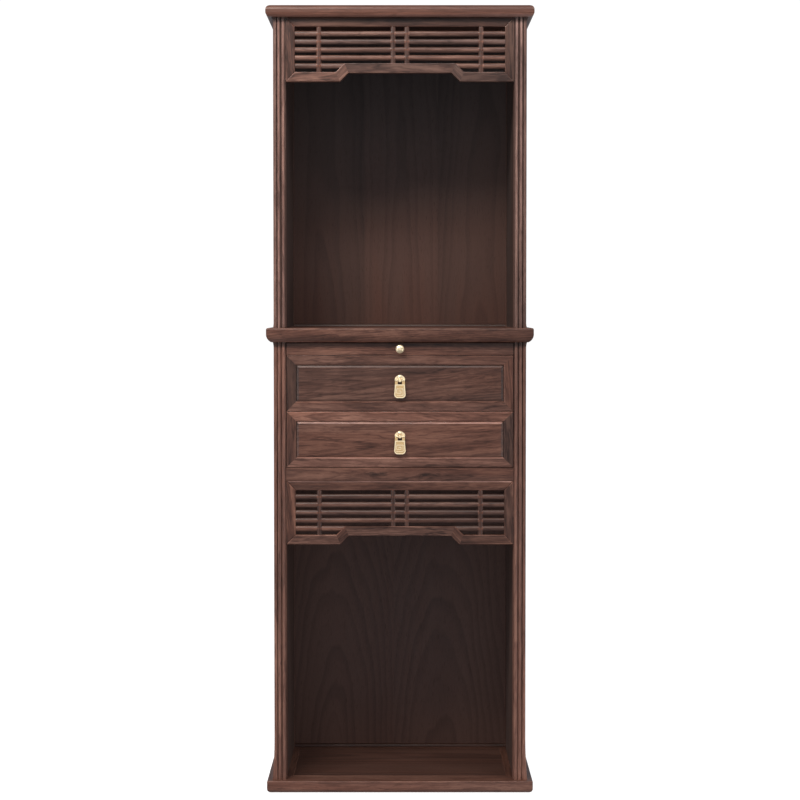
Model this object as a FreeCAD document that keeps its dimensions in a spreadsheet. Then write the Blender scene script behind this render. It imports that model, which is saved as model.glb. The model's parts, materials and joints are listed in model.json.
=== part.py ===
import FreeCAD, Part
import math
import os

import Sketcher

# Altar cabinet. Millimetres, +Z up, the front looks along -Y, the origin is on
# the floor under the middle of the cabinet.
os.makedirs("parts", exist_ok=True)
doc = FreeCAD.newDocument("altar_cabinet")
sheet = doc.addObject("Spreadsheet::Sheet", "Spreadsheet")

# Driving dimensions: alias, value, meaning
DIMENSIONS = [
    ("board_width", 600, "all three boards, side to side"),
    ("board_depth", 400, "all three boards, front to back"),
    ("overhang", 16, "board edge beyond the posts"),
    ("base_height", 27, "thickness of the base board"),
    ("altar_level", 1017.4, "underside of the altar board"),
    ("altar_height", 32.2, "thickness of the altar board"),
    ("crown_level", 1744, "underside of the crown board"),
    ("crown_height", 26, "thickness of the crown board"),
    ("frame_width", 58, "width of the rails that frame a board"),
    ("panel_groove", 8, "depth of the groove round a board panel"),
    ("panel_tongue", 8, "thickness of the tongue of a board panel"),
    ("panel_thick", 16, "thickness of a board panel"),
    ("post_wide", 28, "post, side to side"),
    ("post_deep", 30, "post, front to back"),
    ("post_flare", 4.5, "how far a post swells out at the base and at the crown"),
    ("post_flare_mid", 2, "how far a post swells out at the altar board"),
    ("post_arris", 2.4, "rounding of the outer corners of a post"),
    ("tenon_side", 14, "stub tenon of a post, square"),
    ("tenon_long", 14, "length of that tenon"),
    ("tenon_spare", 0.5, "room past the end of a tenon"),
    ("tenon_inset_x", 4, "tenon from the outer side of the post"),
    ("tenon_inset_y", 6, "tenon from the outer end of the post"),
    ("bead_start", 7.8, "first bead from the outer side of the post"),
    ("bead_width", 9, "width of a half-round bead"),
    ("bead_quirk", 1, "gap beside a bead"),
    ("bead_rise", 4, "height of a bead"),
    ("bead_sunk", 0.2, "crown of a bead below the post face"),
    ("bead_radius", 4.53125, "radius of the bead's arc"),
    ("side_thick", 9, "thickness of the side panels"),
    ("side_step", 1, "side panel back from the inner side of the posts"),
    ("side_rail_thick", 12, "side rails, outside the side panels"),
    ("side_rail_tall", 38, "height of a side rail"),
    ("edge_tongue", 8, "panels let into the posts"),
    ("edge_spare", 0.5, "room past the edge of a panel"),
    ("end_tongue", 6, "panels let into the boards"),
    ("end_half_deep", 150, "half length of that tongue on a side panel"),
    ("end_half_wide", 238, "half length of that tongue on a back panel"),
    ("back_face", 166, "front of the back panels"),
    ("back_thick", 8, "thickness of the back panels"),
    ("batten_thick", 9, "battens behind the back panels"),
    ("batten_tall", 56, "height of a batten"),
    ("corner_bead", 7, "quarter-round bead at the foot of a back panel"),
    ("rail_level", 704.4, "underside of the rail below the drawers"),
    ("rail_tall", 30.2, "height of that rail"),
    ("rail_thick", 22, "thickness of that rail"),
    ("rail_tenon", 10, "tenons of rails into the posts"),
    ("front_set_back", 2.5, "drawer fronts, rail and frets behind the post face"),
    ("front_thick", 20, "thickness of the drawer and tray fronts"),
    ("front_gap", 1, "gap beside the drawer and tray fronts"),
    ("upper_drawer_level", 924.8, "middle of the upper drawer front"),
    ("lower_drawer_level", 798.3, "middle of the lower drawer front"),
    ("drawer_tall", 125.3, "height of a drawer front"),
    ("drawer_frame", 22.5, "width of the frame of a drawer front"),
    ("drawer_arris", 1.2, "rounding of its outer edge"),
    ("groove_frame", 2.5, "V-groove, on the frame's side"),
    ("groove_panel", 4.5, "V-groove, on the panel's side"),
    ("groove_deep", 2.6, "depth of the V-groove"),
    ("panel_sunk", 0.6, "panel of a drawer front behind its frame"),
    ("front_slot_start", 7, "slot for the panel, from the face of the front"),
    ("front_slot_wide", 7, "width of that slot"),
    ("front_slot_deep", 6, "depth of that slot"),
    ("box_side_thick", 14, "drawer sides"),
    ("box_back_thick", 12, "drawer back"),
    ("box_below", 55, "drawer sides below the middle of the front"),
    ("box_above", 45, "drawer sides above the middle of the front"),
    ("box_rear", 130, "rear end of the drawers and of the tray"),
    ("bottom_below", 49, "underside of the drawer bottom below the middle"),
    ("bottom_thick", 6, "drawer bottom"),
    ("bottom_groove", 5, "drawer bottom let into the sides and the front"),
    ("runner_half", 150, "half length of a runner"),
    ("runner_thick", 9, "runner, side to side"),
    ("runner_tall", 10, "height of a runner"),
    ("runner_play", 0.3, "play over and under a runner"),
    ("runner_groove", 7.5, "depth of the runner groove in a drawer side"),
    ("runner_stop", 155, "front end of that groove, before the middle"),
    ("bay_floor_level", 719.8, "underside of the floor of the drawer bay"),
    ("bay_floor_thick", 8, "thickness of that floor"),
    ("tray_level", 988.5, "underside of the tray front"),
    ("tray_tall", 27.6, "height of the tray front"),
    ("tray_board_up", 2.8, "underside of the tray board above that"),
    ("tray_thick", 15, "thickness of the tray board"),
    ("tray_tongue", 8, "tongue of the tray board, thickness and depth"),
    ("knob_radius", 9.6, "head of the tray knob"),
    ("knob_neck", 4.4, "neck of the knob"),
    ("knob_foot", 7, "foot of the knob"),
    ("knob_out", 15.5, "knob in front of the tray"),
    ("knob_shank", 3, "radius of the shank"),
    ("knob_shank_long", 10, "length of the shank"),
    ("fret_tall", 143, "height of a fret"),
    ("fret_thick", 18, "thickness of the frame of a fret"),
    ("fret_band", 21.4, "width of the frame of a fret"),
    ("fret_stile", 20.8, "width of its stiles"),
    ("fret_top", 21, "height of its top rail"),
    ("fret_step", 19.4, "rise of the middle of its bottom rail"),
    ("fret_low_half", 134.6, "half the gap between the low ends"),
    ("fret_mitre", 8.86, "run of the mitre at the steps"),
    ("slat_tall", 11.8, "height of a slat"),
    ("slat_pitch", 17.95, "slat to slat"),
    ("slat_first", 30, "top of the first slat below the top of the fret"),
    ("slat_thick", 11, "thickness of a slat"),
    ("slat_back", 0.6, "face of the slats behind the frame of the fret"),
    ("slat_round", 3.2, "how far a slat's face is rounded"),
    ("bar_wide", 11.5, "width of an upright bar"),
    ("bar_near", 15.5, "inner bars from the middle"),
    ("bar_far", 181.7, "outer bars from the middle"),
    ("pull_wide", 25.6, "brass pull, side to side"),
    ("pull_top", 12.3, "top of the pull's plate above the pin"),
    ("pull_plate_low", 3, "bottom of the plate below the pin"),
    ("pull_plate_thick", 1.8, "thickness of the plate"),
    ("cap_half", 5.2, "radius of the domed cap on the plate"),
    ("cap_rise", 2.2, "height of that cap"),
    ("cap_level", 6.6, "middle of that cap above the pin"),
    ("pull_lift", 7, "pin above the middle of the drawer front"),
    ("pull_out", 5.6, "pin in front of the panel"),
    ("pull_drop", 39.8, "bottom of the tag below the pin"),
    ("tag_thick", 2.2, "thickness of the tag"),
    ("tag_rim", 2.5, "width of its raised rim"),
    ("tag_relief", 0.8, "height of its rim and ornament"),
    ("ear_radius", 2.5, "ears of the tag round the pin"),
    ("ear_inner", 4.8, "inner end of an ear"),
    ("ear_outer", 9.6, "outer end of an ear"),
    ("notch_deep", 7, "notch between the ears, below the pin"),
    ("pin_radius", 1.25, "hinge pin"),
    ("pin_play", 0.05, "play of the pin in the lug"),
    ("lug_half", 2.4, "half width of the lug"),
    ("stud_radius", 4.2, "rosette in front of the lug"),
    ("stud_start", 2.7, "back of the rosette in front of the pin"),
    ("stud_thick", 1.8, "thickness of the rosette"),
    ("stem_radius", 2.5, "stem of the plate in the panel"),
    ("stem_long", 9, "length of the stem"),
]
VALUES = {}
for row, (alias, value, meaning) in enumerate(DIMENSIONS, start=1):
    sheet.set("A%d" % row, meaning)
    sheet.set("B%d" % row, str(value))
    sheet.setAlias("B%d" % row, alias)
    VALUES[alias] = float(value)
doc.recompute()


# A length that knows its value and the formula over the sheet that gives it.
class Size:
    def __init__(self, value, formula):
        self.value, self.formula = float(value), formula

    def __add__(self, other):
        other = size(other)
        return Size(self.value + other.value, "(%s + %s)" % (self.formula, other.formula))

    def __sub__(self, other):
        other = size(other)
        return Size(self.value - other.value, "(%s - %s)" % (self.formula, other.formula))

    def __mul__(self, other):
        other = size(other)
        return Size(self.value * other.value, "(%s * %s)" % (self.formula, other.formula))

    def __truediv__(self, other):
        other = size(other)
        return Size(self.value / other.value, "(%s / %s)" % (self.formula, other.formula))

    def __neg__(self):
        return Size(-self.value, "(0 - %s)" % self.formula)

    __radd__ = __add__

    def __rsub__(self, other):
        return size(other) - self

    __rmul__ = __mul__


def size(number):
    return number if isinstance(number, Size) else Size(number, "%.6g" % number)


def dim(alias):
    return Size(VALUES[alias], "Spreadsheet." + alias)


NODES = []


def node(label, thing):
    """Names a finished sub-part."""
    thing.Label = label
    NODES.append((label, thing))
    return thing


def place(thing, x=0, y=0, z=0):
    for axis, amount in (("x", x), ("y", y), ("z", z)):
        amount = size(amount)
        if amount.formula != "0":
            thing.setExpression("Placement.Base." + axis, amount.formula)
    return thing


count = [0]


def fresh(kind):
    count[0] += 1
    return "%s%03d" % (kind, count[0])


def box(x0, x1, y0, y1, z0, z1):
    x0, x1, y0, y1, z0, z1 = [size(v) for v in (x0, x1, y0, y1, z0, z1)]
    b = doc.addObject("Part::Box", fresh("Block"))
    b.setExpression("Length", (x1 - x0).formula)
    b.setExpression("Width", (y1 - y0).formula)
    b.setExpression("Height", (z1 - z0).formula)
    return place(b, x0, y0, z0)


def cylinder(axis, x, y, z, radius, length):
    """A cylinder that starts at a point and runs along +X, or along -Y."""
    c = doc.addObject("Part::Cylinder", fresh("Rod"))
    c.setExpression("Radius", size(radius).formula)
    c.setExpression("Height", size(length).formula)
    turn = (
        FreeCAD.Rotation(FreeCAD.Vector(0, 1, 0), 90)
        if axis == "x"
        else FreeCAD.Rotation(FreeCAD.Vector(1, 0, 0), 90)
    )
    c.Placement = FreeCAD.Placement(FreeCAD.Vector(), turn)
    return place(c, x, y, z)


def fuse(things):
    f = doc.addObject("Part::MultiFuse", fresh("Joined"))
    f.Shapes = things
    f.Refine = True
    return f


def cut(base, tools):
    c = doc.addObject("Part::Cut", fresh("Cut"))
    c.Base = base
    c.Tool = tools[0] if len(tools) == 1 else fuse(tools)
    return c


def group(things):
    g = doc.addObject("Part::Compound", fresh("Group"))
    g.Links = things
    return g


def plane_of(body, role):
    for feature in body.Origin.OriginFeatures:
        if feature.Role == role:
            return feature
    raise RuntimeError(role)


def outline(sketch, points, bends):
    """Draws a closed outline through points, with an arc in place of the line that
    starts at point i where bends has i: (radius, +1 if its centre is to the left)."""
    edges, total = [], len(points)
    for i in range(total):
        p = FreeCAD.Vector(points[i][0].value, points[i][1].value, 0)
        q = FreeCAD.Vector(
            points[(i + 1) % total][0].value, points[(i + 1) % total][1].value, 0
        )
        if i in bends:
            radius, side = bends[i]
            half = (q - p) * 0.5
            across = FreeCAD.Vector(-half.y, half.x, 0)
            across.normalize()
            rise = math.sqrt(max(radius.value**2 - half.Length**2, 0.0))
            centre = p + half + across * (rise * side)
            first, last = (p, q) if side > 0 else (q, p)
            a0 = math.atan2(first.y - centre.y, first.x - centre.x)
            a1 = math.atan2(last.y - centre.y, last.x - centre.x)
            circle = Part.Circle(centre, FreeCAD.Vector(0, 0, 1), radius.value)
            g = sketch.addGeometry(Part.ArcOfCircle(circle, a0, a1), False)
            edges.append((g, 1, 2) if side > 0 else (g, 2, 1))
        else:
            g = sketch.addGeometry(Part.LineSegment(p, q), False)
            edges.append((g, 1, 2))
    for i in range(total):
        a, b = edges[i], edges[(i + 1) % total]
        sketch.addConstraint(Sketcher.Constraint("Coincident", a[0], a[2], b[0], b[1]))
    for i in range(total):
        g, start, _ = edges[i]
        for kind, amount in (("DistanceX", points[i][0]), ("DistanceY", points[i][1])):
            c = sketch.addConstraint(
                Sketcher.Constraint(kind, -1, 1, g, start, amount.value)
            )
            if "Spreadsheet" in amount.formula:
                sketch.setExpression("Constraints[%d]" % c, amount.formula)
        if i in bends:
            c = sketch.addConstraint(Sketcher.Constraint("Radius", g, bends[i][0].value))
            sketch.setExpression("Constraints[%d]" % c, bends[i][0].formula)


def sketch_on(body, role, offset, outlines):
    s = body.newObject("Sketcher::SketchObject", fresh("Sketch"))
    s.AttachmentSupport = [(plane_of(body, role), "")]
    s.MapMode = "FlatFace"
    offset = size(offset)
    if offset.formula != "0":
        s.setExpression("AttachmentOffset.Base.z", offset.formula)
    for points, bends in outlines:
        points = [(size(a), size(b)) for a, b in points]
        bends = {i: (size(r), side) for i, (r, side) in bends.items()}
        outline(s, points, bends)
    return s


# Where a plane of a body looks: XY up, XZ to the front, YZ to the right.
def pad(role, start, length, points, bends=None):
    """A new body: an outline on a plane, pushed from start along the plane's normal."""
    body = doc.addObject("PartDesign::Body", fresh("Body"))
    s = sketch_on(body, role, start, [(points, bends or {})])
    p = body.newObject("PartDesign::Pad", fresh("Pad"))
    p.Profile = s
    p.setExpression("Length", size(length).formula)
    s.Visibility = False
    doc.recompute()
    return body


def pocket(body, role, start, depth, outlines):
    """Cuts outlines out of a body, from start against the plane's normal, or all
    the way through both ways where depth is None."""
    before = body.Shape.Volume
    s = sketch_on(body, role, start, outlines)
    p = body.newObject("PartDesign::Pocket", fresh("Pocket"))
    p.Profile = s
    if depth is None:
        p.Type = "ThroughAll"
        p.Midplane = True
    else:
        p.setExpression("Length", size(depth).formula)
    s.Visibility = False
    doc.recompute()
    if not body.Shape.Volume < before - 0.01:
        raise RuntimeError("%s cuts nothing" % p.Name)
    return body


def rectangle(a0, a1, b0, b1):
    return ([(a0, b0), (a1, b0), (a1, b1), (a0, b1)], {})


def round_edges(body, radius, chosen):
    """Rounds the edges whose middle the test chosen accepts."""
    tip = body.Tip
    names = []
    for i, edge in enumerate(tip.Shape.Edges, start=1):
        middle = edge.valueAt((edge.FirstParameter + edge.LastParameter) / 2)
        if chosen(edge, middle):
            names.append("Edge%d" % i)
    f = body.newObject("PartDesign::Fillet", fresh("Fillet"))
    f.Base = (tip, names)
    f.setExpression("Radius", size(radius).formula)
    doc.recompute()
    return body


half_w = dim("board_width") / 2
half_d = dim("board_depth") / 2
post_x = half_w - dim("overhang")
post_y = half_d - dim("overhang")
inner_x = post_x - dim("post_wide")
inner_y = post_y - dim("post_deep")
frame = dim("frame_width")
side_in = inner_x + dim("side_step")
side_out = side_in + dim("side_thick")
back_in = dim("back_face")
back_out = back_in + dim("back_thick")
tenon_x1 = post_x - dim("tenon_inset_x")
tenon_x0 = tenon_x1 - dim("tenon_side")
tenon_y1 = post_y - dim("tenon_inset_y")
tenon_y0 = tenon_y1 - dim("tenon_side")


# ---------------------------------------------------------------- the boards
def edge_profile(kind, height):
    """The moulded outer edge of a board, from the top inwards edge round to the
    bottom: (distance in from the edge, height above the underside), and its arcs."""
    if kind == "crown":
        return (
            [(11, height), (0, height - 11), (0, 10), (10, 0)],
            {0: (11, 1), 2: (10, 1)},
        )
    if kind == "altar":
        return (
            [(4, height), (0, height - 4), (0, height - 13), (11, 0)],
            {0: (4, 1), 2: (20.2273, 1)},
        )
    return (
        [(2, height), (0, height - 2), (0, 10), (9, 0)],
        {0: (2, 1), 2: (10.0556, 1)},
    )


def board(name, kind, level, height, mortises_above, mortises_below):
    edge, arcs = edge_profile(kind, height)
    edge = [(size(a), size(b)) for a, b in edge]
    arcs = {i: (size(r), side) for i, (r, side) in arcs.items()}
    # the tongue of the panel runs in a groove in the rails' inner edges
    slot_top = height - (dim("panel_thick") - dim("panel_tongue")) / 2
    slot_low = slot_top - dim("panel_tongue")
    inside = [
        (frame, size(0)),
        (frame, slot_low),
        (frame - dim("panel_groove") - dim("edge_spare"), slot_low),
        (frame - dim("panel_groove") - dim("edge_spare"), slot_top),
        (frame, slot_top),
        (frame, height),
    ]
    section = edge + inside

    def mortises(body, grooves):
        square = [
            rectangle(sx * tenon_x0, sx * tenon_x1, sy * tenon_y0, sy * tenon_y1)
            for sx in (-1, 1)
            for sy in (-1, 1)
        ]
        deep = dim("tenon_long") + dim("tenon_spare")
        slot = dim("end_tongue") + dim("edge_spare")
        if mortises_above:
            pocket(body, "XY_Plane", height, deep, square)
            if grooves:
                pocket(body, "XY_Plane", height, slot, grooves)
        if mortises_below:
            pocket(body, "XY_Plane", deep, deep, square)
            if grooves:
                pocket(body, "XY_Plane", slot, slot, grooves)

    # front and rear rails: the section lies across Y, the length runs along X
    for label, sign in (("front", 1), ("rear", -1)):
        points = [(sign * (a - half_d), b) for a, b in section]
        bends = {i: (r, side * sign) for i, (r, side) in arcs.items()}
        rail = pad("YZ_Plane", -half_w, dim("board_width"), points, bends)
        corners = []
        for sx in (-1, 1):
            corners.append(
                (
                    [
                        (sx * (half_w + 1), sign * (-1 * half_d - 1)),
                        (sx * (half_w + 1), sign * (frame - half_d + 1)),
                        (sx * (half_w - frame - 1), sign * (frame - half_d + 1)),
                    ],
                    {},
                )
            )
        pocket(rail, "XY_Plane", 0, None, corners)
        grooves = None
        if label == "rear":
            grooves = [
                rectangle(-dim("end_half_wide"), dim("end_half_wide"), back_in, back_out)
            ]
        mortises(rail, grooves)
        node("%s_%s_rail" % (name, label), place(rail, 0, 0, level))
    # end rails: the section lies across X, the length runs along Y
    ends = []
    for sign in (1, -1):
        points = [(sign * (a - half_w), b) for a, b in section]
        bends = {i: (r, side * sign) for i, (r, side) in arcs.items()}
        rail = pad("XZ_Plane", -half_d, dim("board_depth"), points, bends)
        corners = []
        for sy in (-1, 1):
            corners.append(
                (
                    [
                        (sign * (-1 * half_w - 1), sy * (half_d + 1)),
                        (sign * (frame - half_w + 1), sy * (half_d + 1)),
                        (sign * (frame - half_w + 1), sy * (half_d - frame - 1)),
                    ],
                    {},
                )
            )
        pocket(rail, "XY_Plane", 0, None, corners)
        mortises(
            rail,
            [
                rectangle(
                    -sign * side_out,
                    -sign * side_in,
                    -dim("end_half_deep"),
                    dim("end_half_deep"),
                )
            ],
        )
        ends.append(rail)
    node("%s_end_rails" % name, place(group(ends), 0, 0, level))
    # the panel, flush with the top of its frame
    px, py = half_w - frame, half_d - frame
    lip = dim("panel_groove")
    panel = fuse(
        [
            box(-px, px, -py, py, height - dim("panel_thick"), height),
            box(-px - lip, px + lip, -py - lip, py + lip, slot_low, slot_top),
        ]
    )
    node("%s_panel" % name, place(panel, 0, 0, level))


board("base", "base", size(0), dim("base_height"), True, False)
board("altar", "altar", dim("altar_level"), dim("altar_height"), True, True)
board("crown", "crown", dim("crown_level"), dim("crown_height"), False, True)

lower_z, upper_z = dim("base_height"), dim("altar_level") + dim("altar_height")
lower_tall = dim("altar_level") - lower_z
upper_tall = dim("crown_level") - upper_z


# ---------------------------------------------------------------- the posts
def post(tall, sx, front, foot, head, rail_mortise):
    """One post: straight inside, swelling out at foot and head, with stub tenons.
    foot and head are the run and the swell. It stands at z = 0 on the board below."""
    foot_run, foot_swell = foot
    head_run, head_swell = head

    def bend(run, swell):
        return (run * run + swell * swell) / (2 * swell)

    points = [
        (sx * inner_x, size(0)),
        (sx * (post_x + foot_swell), size(0)),
        (sx * post_x, foot_run),
        (sx * post_x, tall - head_run),
        (sx * (post_x + head_swell), tall),
        (sx * inner_x, tall),
    ]
    bends = {1: (bend(foot_run, foot_swell), -sx), 3: (bend(head_run, head_swell), -sx)}
    y_far = post_y if not front else -inner_y
    body = pad("XZ_Plane", -y_far, dim("post_deep"), points, bends)
    face = -post_y.value if front else post_y.value

    def outer_corner(edge, middle):
        return (
            abs(middle.y - face) < 1e-4
            and abs(middle.x) > post_x.value - 0.01
            and abs(edge.BoundBox.ZLength) > 1
        )

    round_edges(body, dim("post_arris"), outer_corner)
    sy = -1 if front else 1
    # tenons into the boards
    for start, length in ((tall, dim("tenon_long")), (-dim("tenon_long"), dim("tenon_long"))):
        s = sketch_on(
            body,
            "XY_Plane",
            start,
            [rectangle(sx * tenon_x0, sx * tenon_x1, sy * tenon_y0, sy * tenon_y1)],
        )
        p = body.newObject("PartDesign::Pad", fresh("Tenon"))
        p.Profile = s
        p.setExpression("Length", length.formula)
        s.Visibility = False
        doc.recompute()
    if front:
        # two half-round beads side by side
        deep = dim("bead_rise") + dim("bead_sunk")
        a0 = post_x - dim("bead_start")
        a1 = a0 - dim("bead_width")
        b0 = a1 - dim("bead_quirk")
        b1 = b0 - dim("bead_width")
        start = a0 + dim("bead_quirk")
        floor_y = -1 * post_y + deep
        out_y = -1 * post_y - 1
        section = [
            (sx * start, out_y),
            (sx * start, floor_y),
            (sx * a0, floor_y),
            (sx * a1, floor_y),
            (sx * b0, floor_y),
            (sx * b1, floor_y),
            (sx * (inner_x - 1), floor_y),
            (sx * (inner_x - 1), out_y),
        ]
        arc = (dim("bead_radius"), -sx)
        pocket(body, "XY_Plane", 0, None, [(section, {2: arc, 4: arc})])
    # groove for the side panel
    grooves = [
        rectangle(
            sx * side_in,
            sx * side_out,
            sy * inner_y,
            sy * (inner_y + dim("edge_tongue") + dim("edge_spare")),
        )
    ]
    if not front:
        grooves.append(
            rectangle(
                sx * inner_x,
                sx * (inner_x + dim("edge_tongue") + dim("edge_spare")),
                back_in,
                back_out,
            )
        )
    pocket(body, "XY_Plane", tall, tall, grooves)
    # mortises for the side rails, top and bottom
    mid = (side_out * 2 + dim("side_rail_thick")) / 2
    holes = []
    for low in (size(0), tall - dim("side_rail_tall")):
        holes.append(
            rectangle(
                sx * (mid - 3),
                sx * (mid + 3),
                low + 7,
                low + dim("side_rail_tall") - 7,
            )
        )
    depth = dim("rail_tenon") + dim("tenon_spare")
    # the plane looks to the front and the cut runs to the rear
    pocket(
        body,
        "XZ_Plane",
        (inner_y + depth) if front else -1 * inner_y,
        depth,
        holes,
    )
    if rail_mortise:
        low = dim("rail_level") - lower_z
        back = -1 * post_y + dim("front_set_back") + dim("rail_thick")
        hole = rectangle(back - 16, back - 6, low + 5, low + dim("rail_tall") - 5)
        # the plane looks to the right and the cut runs to the left
        pocket(
            body,
            "YZ_Plane",
            (inner_x + depth) if sx > 0 else -1 * inner_x,
            depth,
            [hole],
        )
    return body


for side, sx in (("left", -1), ("right", 1)):
    for end, front in (("front", True), ("rear", False)):
        swell, swell_mid = dim("post_flare"), dim("post_flare_mid")
        low = post(lower_tall, sx, front, (size(95), swell), (size(12), swell_mid), front)
        node("lower_post_%s_%s" % (end, side), place(low, 0, 0, lower_z))
        high = post(upper_tall, sx, front, (size(10), swell_mid), (size(15), swell), False)
        node("upper_post_%s_%s" % (end, side), place(high, 0, 0, upper_z))

# ---------------------------------------------------------------- the walls
edge_y = inner_y + dim("edge_tongue")
for part, level, tall in (("lower", lower_z, lower_tall), ("upper", upper_z, upper_tall)):
    for side, sx in (("left", -1), ("right", 1)):
        x0, x1 = (side_in, side_out) if sx > 0 else (-1 * side_out, -1 * side_in)
        wall = fuse(
            [
                box(x0, x1, -edge_y, edge_y, 0, tall),
                box(
                    x0,
                    x1,
                    -dim("end_half_deep"),
                    dim("end_half_deep"),
                    -dim("end_tongue"),
                    tall + dim("end_tongue"),
                ),
            ]
        )
        node("%s_side_panel_%s" % (part, side), place(wall, 0, 0, level))
    edge_x = inner_x + dim("edge_tongue")
    wall = fuse(
        [
            box(-edge_x, edge_x, back_in, back_out, 0, tall),
            box(
                -dim("end_half_wide"),
                dim("end_half_wide"),
                back_in,
                back_out,
                -dim("end_tongue"),
                tall + dim("end_tongue"),
            ),
        ]
    )
    node("%s_back_panel" % part, place(wall, 0, 0, level))

# side rails lie against the outside of the side panels, with tenons in the posts
rails = []
mid = (side_out * 2 + dim("side_rail_thick")) / 2
for level, tall in ((lower_z, lower_tall), (upper_z, upper_tall)):
    for low in (level, level + tall - dim("side_rail_tall")):
        for sx in (-1, 1):
            x0 = side_out if sx > 0 else -1 * side_out - dim("side_rail_thick")
            x1 = x0 + dim("side_rail_thick")
            reach = inner_y + dim("rail_tenon")
            rails.append(
                fuse(
                    [
                        box(x0, x1, -inner_y, inner_y, low, low + dim("side_rail_tall")),
                        box(
                            sx * mid - 3,
                            sx * mid + 3,
                            -reach,
                            reach,
                            low + 7,
                            low + dim("side_rail_tall") - 7,
                        ),
                    ]
                )
            )
node("side_rails", group(rails))

# battens across the back, between the rear posts
battens = []
for level, tall, many in ((lower_z, lower_tall, 3), (upper_z, upper_tall, 3)):
    for i in range(many):
        low = level + (tall - dim("batten_tall")) * (i / (many - 1.0))
        battens.append(
            box(
                -inner_x,
                inner_x,
                back_out,
                back_out + dim("batten_thick"),
                low,
                low + dim("batten_tall"),
            )
        )
node("back_battens", group(battens))

# quarter-round beads at the foot of the back panels
beads = []
for level in (lower_z, upper_z):
    r = dim("corner_bead")
    bead = pad(
        "YZ_Plane",
        -inner_x,
        inner_x * 2,
        [(back_in, size(0)), (back_in, r), (back_in - r, size(0))],
        {1: (r, 1)},
    )
    beads.append(place(bead, 0, 0, level))
node("corner_beads", group(beads))

# ---------------------------------------------------------------- the frets
face_y = -1 * post_y + dim("front_set_back")
fret_back = face_y + dim("fret_thick")
tall = dim("fret_tall")
stile = dim("fret_stile")
band = dim("fret_band")
step = dim("fret_step")
low_half = dim("fret_low_half")
turn = dim("fret_mitre")
slot_half = inner_x - stile
slat_face = face_y + dim("slat_back")
slat_rear = slat_face + dim("slat_thick")
slat_mid = slat_face + dim("slat_thick") / 2
bar_half = dim("bar_wide") / 2
all_slats, all_bars = [], []


def flat(points):
    """A flat member of a fret's frame: an outline pushed from front to back."""
    return pad("XZ_Plane", -fret_back, dim("fret_thick"), points)


def slat(top, x0, x1, bars, mitre):
    """A slat with a rounded face, notched at the front for the bars."""
    tall_s = dim("slat_tall")
    r = dim("slat_round")
    low = top - tall_s
    half = tall_s / 2
    arc = (half * half + r * r) / (2 * r)
    body = pad(
        "YZ_Plane",
        x0,
        x1 - x0,
        [
            (slat_face + r, low),
            (slat_rear, low),
            (slat_rear, top),
            (slat_face + r, top),
        ],
        {3: (arc, 1)},
    )
    if mitre:
        # the end that meets the sloping member, cut along its slope
        foot = low_half + turn - (low - band)
        head = foot - tall_s
        cutter = [
            (mitre * (foot + 1), low - 1),
            (mitre * (head - 1), top + 1),
            (mitre * (head - 14), top + 1),
            (mitre * (head - 14), low - 1),
        ]
        pocket(body, "XZ_Plane", 0, None, [(cutter, {})])
    notches = [
        rectangle(x - bar_half, x + bar_half, slat_face - 2, slat_mid) for x in bars
    ]
    pocket(body, "XY_Plane", 0, None, notches)
    return body


def bar(x, low, high, tops):
    """An upright bar with a rounded face, notched at the back for the slats. Where it
    crosses a slat its face carries the slat's own round across, so that the two rounds
    meet on a cross of mitres."""
    tall_s = dim("slat_tall")
    half = tall_s / 2
    r = dim("slat_round")
    arc = (bar_half * bar_half + r * r) / (2 * r)
    saddle_arc = (half * half + r * r) / (2 * r)
    body = pad(
        "XY_Plane",
        low,
        high - low,
        [
            (x - bar_half, slat_rear),
            (x - bar_half, slat_face + r),
            (x + bar_half, slat_face + r),
            (x + bar_half, slat_rear),
        ],
        {1: (arc, 1)},
    )
    saddles = [
        pad(
            "YZ_Plane",
            x - bar_half,
            bar_half * 2,
            [
                (slat_face + r, top - tall_s),
                (slat_mid + 1, top - tall_s),
                (slat_mid + 1, top),
                (slat_face + r, top),
            ],
            {3: (saddle_arc, 1)},
        )
        for top in tops
    ]
    notches = [
        box(
            x - bar_half - 1,
            x + bar_half + 1,
            slat_mid,
            slat_rear + 2,
            top - tall_s,
            top,
        )
        for top in tops
    ]
    return cut(fuse([body] + saddles), notches)


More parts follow.
